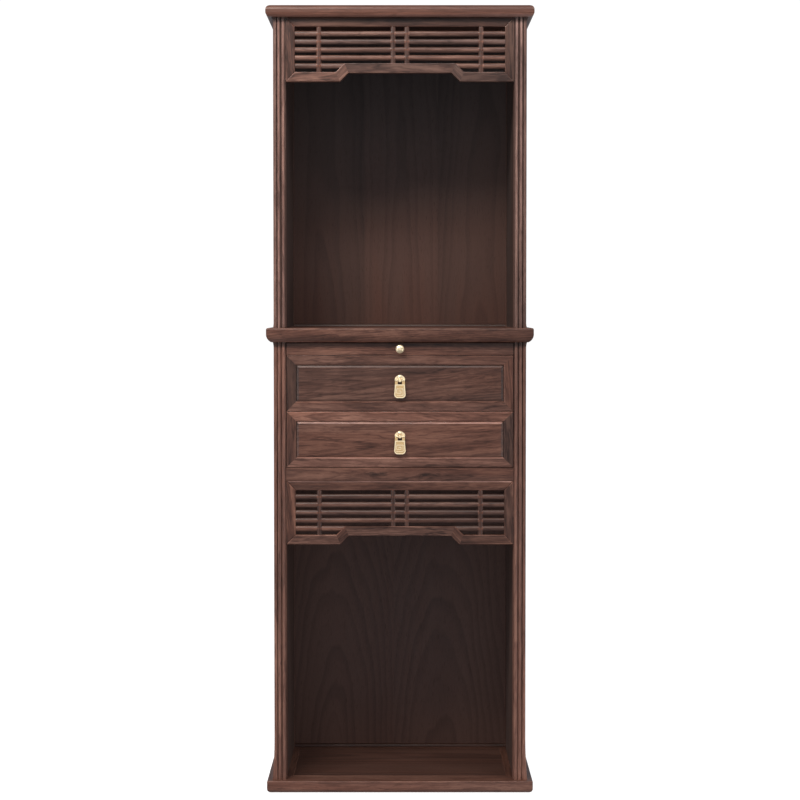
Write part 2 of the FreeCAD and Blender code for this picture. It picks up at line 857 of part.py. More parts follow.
for part, level in (
    ("upper", dim("crown_level") - tall),
    ("lower", dim("rail_level") - tall),
):
    top_low = tall - dim("fret_top")
    top_rail = flat(
        [
            (-inner_x, tall),
            (-slot_half, top_low),
            (slot_half, top_low),
            (inner_x, tall),
        ]
    )
    node("%s_fret_top_rail" % part, place(top_rail, 0, 0, level))
    stiles = []
    for sx in (-1, 1):
        stiles.append(
            flat(
                [
                    (sx * inner_x, 0),
                    (sx * inner_x, tall),
                    (sx * slot_half, top_low),
                    (sx * slot_half, band),
                ]
            )
        )
    node("%s_fret_stiles" % part, place(group(stiles), 0, 0, level))
    # bottom rail: low at both sides, a step up on a slope, high in the middle
    pieces = []
    for sx in (-1, 1):
        pieces.append(
            flat(
                [
                    (sx * inner_x, 0),
                    (sx * slot_half, band),
                    (sx * (low_half + turn), band),
                    (sx * low_half, 0),
                ]
            )
        )
        pieces.append(
            flat(
                [
                    (sx * low_half, 0),
                    (sx * (low_half + turn), band),
                    (sx * (low_half + turn - step), band + step),
                    (sx * (low_half - step), step),
                ]
            )
        )
    pieces.append(
        flat(
            [
                (step - low_half, step),
                (step - low_half - turn, band + step),
                (low_half + turn - step, band + step),
                (low_half - step, step),
            ]
        )
    )
    node("%s_fret_bottom_rail" % part, place(group(pieces), 0, 0, level))
    near, far = dim("bar_near"), dim("bar_far")
    tops = [tall - dim("slat_first") - dim("slat_pitch") * i for i in range(5)]
    for top in tops[:4]:
        s = slat(top, -slot_half, slot_half, [-far, -near, near, far], 0)
        all_slats.append(place(s, 0, 0, level))
    all_slats.append(
        place(slat(tops[4], -slot_half, size(-115), [-far], -1), 0, 0, level)
    )
    all_slats.append(
        place(slat(tops[4], size(115), slot_half, [far], 1), 0, 0, level)
    )
    for x in (-near, near):
        b = bar(x, band + step, top_low, tops[:4])
        all_bars.append(place(b, 0, 0, level))
    for x in (-far, far):
        b = bar(x, band, top_low, tops)
        all_bars.append(place(b, 0, 0, level))
node("fret_slats", group(all_slats))
node("fret_bars", group(all_bars))

# ------------------------------------------------------------ the drawer bay
rail_back = face_y + dim("rail_thick")
rail_low = dim("rail_level")
rail_top = rail_low + dim("rail_tall")
reach = inner_x + dim("rail_tenon")
rail = fuse(
    [
        box(-inner_x, inner_x, face_y, rail_back, rail_low, rail_top),
        box(-reach, reach, rail_back - 16, rail_back - 6, rail_low + 5, rail_top - 5),
    ]
)
node("drawer_rail", rail)
node(
    "bay_floor",
    box(
        -inner_x,
        inner_x,
        rail_back,
        back_in,
        dim("bay_floor_level"),
        dim("bay_floor_level") + dim("bay_floor_thick"),
    ),
)
tray_low = dim("tray_level") + dim("tray_board_up")
tray_top = tray_low + dim("tray_thick")
runners = []
for low in (
    dim("lower_drawer_level") - dim("runner_tall") / 2,
    dim("upper_drawer_level") - dim("runner_tall") / 2,
    tray_low - dim("runner_play") - dim("runner_tall"),
    tray_top + dim("runner_play"),
):
    for sx in (-1, 1):
        x0 = side_in - dim("runner_thick") if sx > 0 else -1 * side_in
        runners.append(
            box(
                x0,
                x0 + dim("runner_thick"),
                -dim("runner_half"),
                dim("runner_half"),
                low,
                low + dim("runner_tall"),
            )
        )
node("runners", group(runners))

# ------------------------------------------------------------------- the tray
front_x = inner_x - dim("front_gap")
front_back = face_y + dim("front_thick")
rear = dim("box_rear")
knob_z = dim("tray_level") + dim("tray_tall") / 2
tongue = dim("tray_tongue")
tongue_low = tray_low + (dim("tray_thick") - tongue) / 2
tray_board = fuse(
    [
        box(-front_x, front_x, front_back, rear, tray_low, tray_top),
        box(
            -front_x + 12,
            front_x - 12,
            front_back - tongue,
            front_back,
            tongue_low,
            tongue_low + tongue,
        ),
    ]
)
node("tray_board", tray_board)
strip = pad(
    "YZ_Plane",
    -front_x,
    front_x * 2,
    [
        (face_y + 1.2, dim("tray_level")),
        (front_back, dim("tray_level")),
        (front_back, dim("tray_level") + dim("tray_tall")),
        (face_y + 1.2, dim("tray_level") + dim("tray_tall")),
        (face_y, dim("tray_level") + dim("tray_tall") - 1.2),
        (face_y, dim("tray_level") + 1.2),
    ],
    {3: (1.2, 1), 5: (1.2, 1)},
)
node(
    "tray_front",
    cut(
        strip,
        [
            box(
                -front_x + 12,
                front_x - 12,
                front_back - tongue,
                front_back + 1,
                tongue_low,
                tongue_low + tongue,
            ),
            cylinder(
                "y",
                0,
                face_y + dim("knob_shank_long") + dim("tenon_spare"),
                knob_z,
                dim("knob_shank"),
                dim("knob_shank_long") + 5,
            ),
        ],
    ),
)
# the knob: a turned outline of radius against distance in front of the tray
body = doc.addObject("PartDesign::Body", fresh("Body"))
out = dim("knob_out")
head = dim("knob_radius")
rise = size(4.2)
dome = (head * head + rise * rise) / (rise * 2)
turned = [
    (size(0), -dim("knob_shank_long")),
    (dim("knob_shank"), -dim("knob_shank_long")),
    (dim("knob_shank"), size(0)),
    (dim("knob_foot"), size(0)),
    (dim("knob_foot"), size(1.6)),
    (dim("knob_neck"), size(4)),
    (dim("knob_neck"), size(6.5)),
    (head, out - rise - 0.8),
    (head, out - rise),
    (size(0), out),
]
s = sketch_on(
    body,
    "XY_Plane",
    0,
    [(turned, {4: (3.2, -1), 6: (6.2, -1), 8: (dome, 1)})],
)
spin = body.newObject("PartDesign::Revolution", fresh("Turned"))
spin.Profile = s
spin.ReferenceAxis = (s, ["V_Axis"])
spin.Angle = 360
s.Visibility = False
body.Placement = FreeCAD.Placement(
    FreeCAD.Vector(), FreeCAD.Rotation(FreeCAD.Vector(0, 0, 1), 180)
)
doc.recompute()
node("tray_knob", place(body, 0, face_y, knob_z))

# ---------------------------------------------------------------- the drawers
pull_x = dim("pull_wide") / 2


def tag_outline(inset):
    """Half-waisted tag with rounded bottom corners, round its lower part, from the
    notch down: distances from the pin. inset moves the line inwards."""
    top = -1 * dim("notch_deep") - 2 - inset
    low = -1 * dim("pull_drop") + inset
    wide = pull_x - inset
    waist = pull_x - 1.6 - inset
    round_low = size(8) - inset
    return (
        [
            (-1 * waist, top),
            (-1 * wide, low + round_low),
            (-1 * wide + round_low, low),
            (wide - round_low, low),
            (wide, low + round_low),
            (waist, top),
        ],
        {
            0: (size(330), -1),
            1: (round_low, 1),
            3: (round_low, 1),
            4: (size(330), -1),
        },
    )


def drawer(name, level):
    """One drawer, drawn about the middle of its front, then lifted to its level."""
    half = dim("drawer_tall") / 2
    width = dim("drawer_frame")
    open_x, open_z = front_x - width, half - width
    arris = dim("drawer_arris")
    slot0 = face_y + dim("front_slot_start")
    slot1 = slot0 + dim("front_slot_wide")
    groove_end = width - dim("front_slot_deep")
    # section of a member: (distance from the outer edge, Y)
    section = [
        (arris, face_y),
        (width - dim("groove_frame"), face_y),
        (width, face_y + dim("groove_deep")),
        (width, slot0),
        (groove_end, slot0),
        (groove_end, slot1),
        (width, slot1),
        (width, front_back),
        (size(0), front_back),
        (size(0), face_y + arris),
    ]
    bottom_low = -1 * dim("bottom_below")
    bottom_top = bottom_low + dim("bottom_thick")
    let_in = dim("bottom_groove")
    members = []
    for sign in (1, -1):
        # lower member, then upper member
        points = [(y, sign * (a - half)) for a, y in section]
        member = pad(
            "YZ_Plane", -front_x, front_x * 2, points, {9: (arris, sign)}
        )
        corners = [
            (
                [
                    (sx * (front_x + 1), sign * (-1 * half - 1)),
                    (sx * (front_x + 1), sign * (width - half + 1)),
                    (sx * (front_x - width - 1), sign * (width - half + 1)),
                ],
                {},
            )
            for sx in (-1, 1)
        ]
        pocket(member, "XZ_Plane", 0, None, corners)
        if sign > 0:
            pocket(
                member,
                "XZ_Plane",
                let_in - front_back,
                let_in,
                [
                    rectangle(
                        -front_x + dim("box_side_thick") - let_in,
                        front_x - dim("box_side_thick") + let_in,
                        bottom_low,
                        bottom_top,
                    )
                ],
            )
        members.append(member)
    for sign in (1, -1):
        # left member, then right member
        points = [(sign * (a - front_x), y) for a, y in section]
        member = pad("XY_Plane", -half, half * 2, points, {9: (arris, sign)})
        corners = [
            (
                [
                    (sign * (-1 * front_x - 1), sz * (half + 1)),
                    (sign * (width - front_x + 1), sz * (half + 1)),
                    (sign * (width - front_x + 1), sz * (half - width - 1)),
                ],
                {},
            )
            for sz in (-1, 1)
        ]
        pocket(member, "XZ_Plane", 0, None, corners)
        hole = rectangle(
            -1 * sign * (front_x - dim("box_side_thick") + let_in),
            -1 * sign * (front_x - width - 1),
            bottom_low,
            bottom_top,
        )
        pocket(member, "XZ_Plane", let_in - front_back, let_in, [hole])
        members.append(member)
    node("%s_front_frame" % name, place(group(members), 0, 0, level))

    # front panel: a field with bevelled edges on a tongue that sits in the frame
    panel_face = face_y + dim("panel_sunk")
    lip = dim("front_slot_deep") - dim("edge_spare")
    panel = pad(
        "XZ_Plane",
        -slot1,
        slot1 - panel_face,
        [(-open_x, -open_z), (open_x, -open_z), (open_x, open_z), (-open_x, open_z)],
    )
    # the field slopes down to the bottom of the groove on all four sides
    run = dim("groove_panel")
    fall = dim("groove_deep") - dim("panel_sunk")
    slopes = []
    for sign in (1, -1):
        for limit, role, reach_out in ((open_z, "YZ_Plane", front_x), (open_x, "XY_Plane", half)):
            corners = [
                (panel_face - 1, sign * (limit - run - run / fall)),
                (panel_face + fall * 1.2, sign * (limit + run * 0.2)),
                (panel_face - 1, sign * (limit + run * 0.2)),
            ]
            if role == "XY_Plane":
                corners = [(x, y) for y, x in corners]
            slopes.append(pad(role, -reach_out, reach_out * 2, corners))
    tongue_plate = box(
        -1 * open_x - lip, open_x + lip, slot0, slot1, -1 * open_z - lip, open_z + lip
    )
    stem = cylinder(
        "y",
        0,
        panel_face + dim("stem_long") + dim("tenon_spare"),
        dim("pull_lift"),
        dim("stem_radius"),
        dim("stem_long") + 5,
    )
    bored = cut(fuse([panel, tongue_plate]), [stem] + slopes)
    node("%s_front_panel" % name, place(bored, 0, 0, level))

    # sides with a groove for the runner and one for the bottom
    below, above = -1 * dim("box_below"), dim("box_above")
    sides = []
    for sx in (-1, 1):
        inner = front_x - dim("box_side_thick")
        x0, x1 = (inner, front_x) if sx > 0 else (-1 * front_x, -1 * inner)
        r0, r1 = (
            (front_x - dim("runner_groove"), front_x + 1)
            if sx > 0
            else (-1 * front_x - 1, dim("runner_groove") - front_x)
        )
        g0, g1 = (inner - 1, inner + let_in) if sx > 0 else (-1 * inner - let_in, 1 - inner)
        play = dim("runner_tall") / 2 + dim("runner_play")
        sides.append(
            cut(
                box(x0, x1, front_back, rear, below, above),
                [
                    box(r0, r1, -dim("runner_stop"), rear + 1, -play, play),
                    box(g0, g1, front_back - 1, rear + 1, bottom_low, bottom_top),
                ],
            )
        )
    node("%s_sides" % name, place(group(sides), 0, 0, level))
    inner = front_x - dim("box_side_thick")
    back = box(-inner, inner, rear - dim("box_back_thick"), rear, bottom_top + level, above + level)
    node("%s_back" % name, back)
    floor = box(
        -inner - let_in,
        inner + let_in,
        front_back - let_in,
        rear,
        bottom_low + level,
        bottom_top + level,
    )
    node("%s_bottom" % name, floor)

    # brass pull: a plate with a shouldered top and a domed cap, a lug and a rosette, on a stem
    pull_z = level + dim("pull_lift")
    plate_back = panel_face
    plate_face = plate_back - dim("pull_plate_thick")
    pin_y = panel_face - dim("pull_out")
    top = dim("pull_top")
    plate = pad(
        "XZ_Plane",
        -plate_back,
        dim("pull_plate_thick"),
        [
            (2 - pull_x, -dim("pull_plate_low")),
            (pull_x - 2, -dim("pull_plate_low")),
            (pull_x - 1, top - 9.5),
            (size(6), top - 2.4),
            (size(-6), top - 2.4),
            (1 - pull_x, top - 9.5),
        ],
        {2: (11, 1), 3: (8.7, 1), 4: (11, 1)},
    )
    lug_half = dim("lug_half")
    ear = dim("ear_radius")
    lug = pad(
        "YZ_Plane",
        -lug_half,
        lug_half * 2,
        [
            (plate_face, -ear),
            (plate_face, ear),
            (pin_y, ear),
            (pin_y - dim("stud_start"), ear - 1),
            (pin_y - dim("stud_start"), 1 - ear),
            (pin_y, -ear),
        ],
    )
    stud = cylinder("y", 0, pin_y - dim("stud_start"), 0, dim("stud_radius"), dim("stud_thick"))
    stud_round = doc.addObject("Part::Fillet", fresh("Round"))
    stud_round.Base = stud
    doc.recompute()
    rim = []
    for i, edge in enumerate(stud.Shape.Edges, start=1):
        flat_rim = edge.BoundBox.YLength < 1e-4
        if flat_rim and edge.BoundBox.YMin < (pin_y.value - VALUES["stud_start"] - 1):
            rim.append((i, 1.4, 1.4))
    stud_round.Edges = rim
    rod = cylinder(
        "y", 0, panel_face + dim("stem_long"), 0, dim("stem_radius"), dim("stem_long")
    )
    bore = cylinder(
        "x",
        -lug_half - 1,
        pin_y,
        0,
        dim("pin_radius") + dim("pin_play"),
        lug_half * 2 + 2,
    )
    rise, cap_half = dim("cap_rise"), dim("cap_half")
    ball_radius = (cap_half * cap_half + rise * rise) / (rise * 2)
    ball = doc.addObject("Part::Sphere", fresh("Ball"))
    ball.setExpression("Radius", ball_radius.formula)
    place(ball, 0, plate_face - rise + ball_radius, dim("cap_level"))
    cap = cut(ball, [box(-20, 20, plate_face + 0.9, plate_face + 40, -20, 40)])
    fixed = cut(fuse([plate, cap, lug, stud_round, rod]), [bore])
    node("%s_pull_plate" % name, place(fixed, 0, 0, pull_z))

    # hinge pin, fast in the ears of the tag
    pin_long = dim("ear_outer")
    node(
        "%s_pull_pin" % name,
        place(
            cylinder("x", -pin_long, pin_y, pull_z, dim("pin_radius"), pin_long * 2)
        ),
    )

    # the tag: two ears on the pin, a plate with a raised rim and a meander
    tag_face = pin_y - dim("tag_thick") / 2
    tag_back = pin_y + dim("tag_thick") / 2
    relief = dim("tag_relief")
    points, bends = tag_outline(size(0))
    plate = pad("XZ_Plane", -tag_back, dim("tag_thick") + relief, points, bends)
    points, bends = tag_outline(dim("tag_rim"))
    pocket(plate, "XZ_Plane", relief - tag_face, relief, [(points, bends)])
    shoulder_x = pull_x - 1.6
    pieces = [plate]
    for sx in (-1, 1):
        x0 = dim("ear_inner") if sx > 0 else -dim("ear_outer")
        x1 = dim("ear_outer") if sx > 0 else -dim("ear_inner")
        pieces.append(cylinder("x", x0, pin_y, 0, ear, x1 - x0))
        pieces.append(
            pad(
                "XZ_Plane",
                -tag_back,
                dim("tag_thick"),
                [
                    (sx * dim("ear_inner"), size(0)),
                    (sx * dim("ear_inner"), -dim("notch_deep") - 3.5),
                    (sx * (shoulder_x - 1), -dim("notch_deep") - 3.5),
                    (sx * shoulder_x, -dim("notch_deep") - 2),
                    (sx * shoulder_x, size(-4)),
                    (sx * dim("ear_outer"), size(0)),
                ],
                {4: (6, sx)},
            )
        )
    # square meander: strips of one width on a square field
    field, strip_w = size(16), size(1.6)
    low_z = -1 * dim("pull_drop") + 5.5
    left_x = -1 * field / 2
    step_m = (field - strip_w) / 6

    def strip(i0, i1, j0, j1):
        return box(
            left_x + step_m * i0,
            left_x + step_m * i1 + strip_w,
            tag_face - relief,
            tag_face,
            low_z + step_m * j0,
            low_z + step_m * j1 + strip_w,
        )

    pieces += [
        strip(0, 6, 0, 0),
        strip(6, 6, 0, 6),
        strip(0, 6, 6, 6),
        strip(0, 0, 2, 6),
        strip(0, 4, 2, 2),
        strip(4, 4, 2, 4),
        strip(2, 4, 4, 4),
    ]
    tag_bore = cylinder(
        "x", -dim("ear_outer") - 1, pin_y, 0, dim("pin_radius"), dim("ear_outer") * 2 + 2
    )
    tag = cut(fuse(pieces), [tag_bore])
    node("%s_pull_tag" % name, place(tag, 0, 0, pull_z))


drawer("upper_drawer", dim("upper_drawer_level"))
drawer("lower_drawer", dim("lower_drawer_level"))

# ------------------------------------------------------------------ write out
doc.recompute()
for thing in doc.Objects:
    if "Invalid" in thing.State or "Error" in thing.State:
        raise RuntimeError("%s (%s): %s" % (thing.Name, thing.Label, thing.State))
labels = [label for label, _ in NODES]
if len(set(labels)) != len(labels) or len(labels) > 60:
    raise RuntimeError("%d sub-parts" % len(labels))
for label, thing in NODES:
    shape = thing.Shape
    if shape.isNull() or not shape.isValid() or not shape.Solids:
        raise RuntimeError("%s has no valid solid" % label)
for label, thing in NODES:
    thing.Shape.exportStep("parts/%s.step" % label)
print("%d sub-parts" % len(NODES))
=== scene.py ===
import json
import math
import random

import bmesh
import bpy
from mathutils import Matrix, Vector
from mathutils.geometry import normal


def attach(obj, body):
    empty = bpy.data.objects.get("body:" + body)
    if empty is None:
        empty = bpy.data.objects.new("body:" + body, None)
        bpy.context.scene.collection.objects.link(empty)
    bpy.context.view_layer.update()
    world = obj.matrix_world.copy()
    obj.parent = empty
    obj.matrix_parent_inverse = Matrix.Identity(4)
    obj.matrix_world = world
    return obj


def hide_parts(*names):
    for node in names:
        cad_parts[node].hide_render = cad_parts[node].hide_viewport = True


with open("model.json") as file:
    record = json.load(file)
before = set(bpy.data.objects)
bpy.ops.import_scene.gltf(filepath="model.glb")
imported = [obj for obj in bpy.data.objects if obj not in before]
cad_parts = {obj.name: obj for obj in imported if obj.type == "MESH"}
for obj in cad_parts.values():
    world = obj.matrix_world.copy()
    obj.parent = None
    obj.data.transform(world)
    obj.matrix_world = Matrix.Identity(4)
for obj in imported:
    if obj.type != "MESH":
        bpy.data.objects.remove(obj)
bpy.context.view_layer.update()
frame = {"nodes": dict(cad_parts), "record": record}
NODES = frame["nodes"]
scene = bpy.context.scene
BODY_OF = {
    node: body
    for body, members in frame["record"]["behaviour"]["bodies"].items()
    for node in members
}
AXES = (Vector((1, 0, 0)), Vector((0, 1, 0)), Vector((0, 0, 1)))


# ------------------------------------------------------------------ camera
camera = bpy.data.objects.new("camera", bpy.data.cameras.new("camera"))
scene.collection.objects.link(camera)
scene.camera = camera
camera.location = (0.0002, -4.691, 1.097)
camera.rotation_euler = (math.radians(90 - 1.975), 0, 0)
camera.data.sensor_fit = "HORIZONTAL"
camera.data.angle = 2 * math.atan(400 / 2005.7)
camera.data.shift_y = -0.03
camera.data.dof.use_dof = False


# ------------------------------------------------------------------ shader helpers
class Tree:
    """A node tree with short ways to add nodes; a socket given as a value is linked."""

    def __init__(self, tree):
        self.tree = tree
        tree.nodes.clear()

    def node(self, kind, values=None, **settings):
        n = self.tree.nodes.new(kind)
        for key, value in settings.items():
            setattr(n, key, value)
        for key, value in (values or {}).items():
            self.give(n.inputs[key], value)
        return n

    def give(self, socket, value):
        if isinstance(value, bpy.types.NodeSocket):
            self.tree.links.new(value, socket)
        else:
            socket.default_value = value

    def math(self, operation, a, b=None, c=None, clamp=False):
        n = self.tree.nodes.new("ShaderNodeMath")
        n.operation, n.use_clamp = operation, clamp
        for i, value in enumerate((a, b, c)):
            if value is not None:
                self.give(n.inputs[i], value)
        return n.outputs[0]

    def vector(self, operation, a, b):
        n = self.tree.nodes.new("ShaderNodeVectorMath")
        n.operation = operation
        self.give(n.inputs[0], a)
        self.give(n.inputs[1], b)
        return n.outputs["Vector"]

    def noise(self, place, stretch, detail=2.0, rough=0.5, lift=(0, 0, 0)):
        n = self.tree.nodes.new("ShaderNodeTexNoise")
        n.inputs["Scale"].default_value = 1.0
        n.inputs["Detail"].default_value = detail
        n.inputs["Roughness"].default_value = rough
        place = self.vector("MULTIPLY", place, stretch)
        if any(lift):
            place = self.vector("ADD", place, lift)
        self.give(n.inputs["Vector"], place)
        return n.outputs["Fac"]

    def spread(self, value, low, high, a=0.0, b=1.0, smooth=True):
        n = self.tree.nodes.new("ShaderNodeMapRange")
        n.interpolation_type = "SMOOTHSTEP" if smooth else "LINEAR"
        n.clamp = True
        for i, v in enumerate((value, low, high, a, b)):
            self.give(n.inputs[i], v)
        return n.outputs[0]

    def ramp(self, value, stops, smooth=False):
        n = self.tree.nodes.new("ShaderNodeValToRGB")
        r = n.color_ramp
        r.interpolation = "EASE" if smooth else "LINEAR"
        while len(r.elements) < len(stops):
            r.elements.new(0.5)
        for e, (at, colour) in zip(r.elements, stops):
            e.position = at
            e.color = (*colour, 1.0) if hasattr(colour, "__len__") else (colour,) * 3 + (1.0,)
        self.give(n.inputs[0], value)
        return n.outputs["Color"]

    def mix(self, fac, a, b, blend="MIX"):
        n = self.tree.nodes.new("ShaderNodeMix")
        n.data_type, n.blend_type = "RGBA", blend
        self.give(n.inputs["Factor"], fac)
        for socket, value in ((n.inputs[6], a), (n.inputs[7], b)):
            if not isinstance(value, bpy.types.NodeSocket) and len(value) == 3:
                value = (*value, 1.0)
            self.give(socket, value)
        return n.outputs[2]

    def attribute(self, name):
        return self.node("ShaderNodeAttribute", attribute_name=name)


def material(name):
    m = bpy.data.materials.new(name)
    m.use_nodes = True
    return m, Tree(m.node_tree)


# ------------------------------------------------------------------ wood
def wood(name, dark, middle, light, spacing=0.0045, rings=0.20, streaks=1.0, rough=0.40, pores=0.5, knots=(),
         quivers=(5, 48, 48), uneven=0.0034):
    """Sawn and oiled timber. The faces carry the place in the plank (along the grain,
    across it, through it), the place round the heart of the tree, the plank's own tint,
    whether they are an arris, how deep they lie in a moulding and how far below an
    overhanging board."""
    m, t = material(name)
    plank = t.attribute("plank").outputs["Vector"]
    heart = t.node("ShaderNodeSeparateXYZ", {0: t.attribute("heart").outputs["Vector"]}).outputs
    tint = t.node("ShaderNodeSeparateXYZ", {0: t.attribute("tint").outputs["Vector"]}).outputs
    edge = t.attribute("edge").outputs["Fac"]
    deep = t.attribute("deep").outputs["Fac"]
    below = t.attribute("below").outputs["Fac"]

    # the grain drifts and waves along the plank
    drift = t.math("MULTIPLY", t.math("SUBTRACT", t.noise(plank, (1.6, 5, 5), 1.0), 0.5), 0.045)
    wave = t.math("MULTIPLY", t.math("SUBTRACT", t.noise(plank, (9, 20, 20), 1.0, 0.5, (4, 4, 1)), 0.5), 0.006)
    aside = t.math("ADD", drift, wave)

    # knots push the grain aside and stain it
    stain = None
    if knots:
        spot = t.node("ShaderNodeSeparateXYZ", {0: t.attribute("spot").outputs["Vector"]}).outputs
        ragged = t.math("SUBTRACT", t.noise(t.attribute("spot").outputs["Vector"], (70, 260, 90), 3.0, 0.6), 0.5)
        for along, across, size, flat, push in knots:
            du = t.math("MULTIPLY", t.math("SUBTRACT", spot[0], along), flat)
            dv = t.math("SUBTRACT", spot[1], across)
            away = t.math("SQRT", t.math("ADD", t.math("MULTIPLY", du, du), t.math("MULTIPLY", dv, dv)))
            swell = t.math("EXPONENT", t.math("MULTIPLY", t.math("DIVIDE", away, size * 1.5), -1.0))
            aside = t.math("MULTIPLY_ADD", swell, push, aside)
            ragged_away = t.math("MULTIPLY_ADD", ragged, size * 2.4, away)
            core = t.spread(ragged_away, size * 0.1, size * 1.05, 1.0, 0.0)
            stain = core if stain is None else t.math("MAXIMUM", stain, core)
    bent = t.vector("ADD", plank, t.node("ShaderNodeCombineXYZ", {1: aside, 2: aside}).outputs[0])

    # growth rings round the heart
    quiver = t.noise(bent, quivers, 2.0, 0.5, (3, 1, 7))
    radius = t.math("SQRT", t.math("ADD", t.math("MULTIPLY", heart[0], heart[0]),
                                   t.math("MULTIPLY", heart[1], heart[1])))
    radius = t.math("ADD", t.math("MULTIPLY", aside, 0.7), radius)
    radius = t.math("MULTIPLY_ADD", t.math("SUBTRACT", quiver, 0.5), uneven, radius)
    count = t.math("DIVIDE", radius, spacing)
    phase = t.math("FRACT", count)
    year = t.node("ShaderNodeTexWhiteNoise", {"W": t.math("FLOOR", count)},
                  noise_dimensions="1D").outputs["Value"]
    late = t.ramp(phase, [(0.0, 0.05), (0.35, 0.15), (0.72, 0.80), (0.84, 1.0), (1.0, 0.05)], True)
    ring = t.math("MULTIPLY", late, t.math("MULTIPLY_ADD", year, 0.85, 0.15))

    # bands, streaks, dark veins, fibres and pores along the grain
    bands = t.noise(bent, (2.0, 26, 26), 2.0, 0.5, (5, 1, 3))
    streak = t.noise(bent, (11.0, 105, 105), 4.0, 0.60, (11, 5, 2))
    vein = t.math("ABSOLUTE", t.math("SUBTRACT", t.noise(bent, (7.0, 66, 66), 3.0, 0.55, (7, 7, 2)), 0.5))
    vein = t.spread(vein, 0.003, 0.042, 1.0, 0.0)
    hair = t.math("ABSOLUTE", t.math("SUBTRACT", t.noise(bent, (15.0, 180, 180), 2.5, 0.55, (1, 3, 9)), 0.5))
    hair = t.spread(hair, 0.004, 0.060, 1.0, 0.0)
    here = t.spread(t.noise(bent, (6.0, 30, 30), 2.0, 0.5, (8, 6, 4)), 0.38, 0.62)
    fibre = t.noise(bent, (48, 340, 340), 3.0, 0.6, (1, 9, 4))
    pore = t.spread(t.noise(bent, (55, 1300, 1300), 1.0, 0.4, (6, 3, 8)), 0.63, 0.72)
    cloud = t.noise(plank, (5.0, 13, 13), 2.0, 0.5, (2, 8, 5))
    hue = t.noise(bent, (1.2, 18, 18), 2.0, 0.5, (9, 2, 1))

    def weigh(value, centre, amount, so_far):
        return t.math("MULTIPLY_ADD", t.math("SUBTRACT", value, centre), amount, so_far)

    shade = weigh(ring, 0.25, -rings, 0.5)
    shade = weigh(bands, 0.5, 0.66 * streaks, shade)
    shade = weigh(streak, 0.5, 0.68 * streaks, shade)
    shade = weigh(fibre, 0.5, 0.34 * streaks, shade)
    shade = weigh(cloud, 0.5, 0.42, shade)
    shade = weigh(t.math("MULTIPLY", vein, here), 0.10, -0.22 * streaks, shade)
    shade = weigh(t.math("MULTIPLY", hair, t.math("SUBTRACT", 1.0, here)), 0.12, -0.14 * streaks, shade)
    shade = t.math("MULTIPLY_ADD", t.math("SUBTRACT", shade, 0.5), tint[2], 0.5)
    colour = t.ramp(shade, [(0.0, dark), (0.5, middle), (1.0, light)])
    warmth = t.spread(t.math("ADD", hue, tint[1]), 0.30, 0.70)
    colour = t.mix(1.0, colour, t.mix(warmth, (0.955, 1.00, 1.05), (1.045, 0.945, 0.905)), "MULTIPLY")
    # wood given a strongly negative redness turns greyer; on the inner panels and the top of the niche this stands in
    # for the cool shade there (painted shade), on the posts and slats for the pale sheen they catch (painted
    # highlight)
    greyness = t.spread(tint[1], -0.3, -1.0, 0.0, 0.7, False)
    colour = t.mix(greyness, colour, t.node("ShaderNodeRGBToBW", {0: colour}).outputs[0])
    colour = t.mix(1.0, colour, t.node("ShaderNodeCombineXYZ", {0: tint[0], 1: tint[0], 2: tint[0]}).outputs[0],
                   "MULTIPLY")
    colour = t.mix(t.math("MULTIPLY", pore, pores), colour, dark)
    if stain is not None:
        colour = t.mix(t.math("MULTIPLY", stain, 0.80), colour, tuple(c * 0.45 for c in dark))
    # painted light and shade: arrises, most of all those facing up, crowns of mouldings and the lines on the drawer
    # fronts are painted paler (painted highlight); the bottoms of mouldings and the strip under an overhanging board
    # are painted darker (painted shade and painted shadow); the broad shades over whole boards ride on the same
    # values
    painted_light_gain = t.math("MULTIPLY_ADD", edge, 1.1, 1.0)
    painted_light_gain = t.math("MULTIPLY", painted_light_gain, t.spread(below, 0.0070, 0.0145, 0.50, 1.0))
    painted_light_gain = t.math("MULTIPLY", painted_light_gain, t.spread(deep, -1.0, 0.0, 6.5, 1.0, False))
    painted_light_gain = t.math("MULTIPLY", painted_light_gain, t.spread(deep, 0.0, 1.0, 1.0, 0.25, False))
    colour = t.mix(1.0, colour, t.node("ShaderNodeCombineXYZ", {0: painted_light_gain, 1: painted_light_gain, 2: painted_light_gain}).outputs[0], "MULTIPLY")

    # the painted highlights are also turned greyer, like the pale sheen of a highlight (painted highlight)
    rub = t.math("MAXIMUM", t.spread(deep, -0.40, -0.04, 1.0, 0.0, False), t.spread(edge, 0.5, 2.4, 0.0, 1.0, False))
    colour = t.mix(t.math("MULTIPLY", rub, 0.42), colour, t.node("ShaderNodeRGBToBW", {0: colour}).outputs[0])

    gloss = weigh(streak, 0.5, 0.22, rough)
    gloss = t.math("MULTIPLY_ADD", pore, 0.18, gloss)
    smooth = t.math("MAXIMUM", t.spread(edge, 0.0, 0.5), t.spread(deep, -0.10, 0.0, 1.0, 0.0))
    gloss = t.math("MULTIPLY_ADD", smooth, t.math("SUBTRACT", 0.24, gloss), gloss)
    height = t.math("MULTIPLY_ADD", pore, -0.9, t.math("MULTIPLY", fibre, 0.5))
    bump = t.node("ShaderNodeBump", {"Strength": 0.25, "Distance": 0.00015, "Height": height})
    shader = t.node("ShaderNodeBsdfPrincipled",
                    {"Base Color": colour, "Roughness": gloss, "Normal": bump.outputs[0]})
    out = t.node("ShaderNodeOutputMaterial")
    t.tree.links.new(shader.outputs[0], out.inputs["Surface"])
    return m


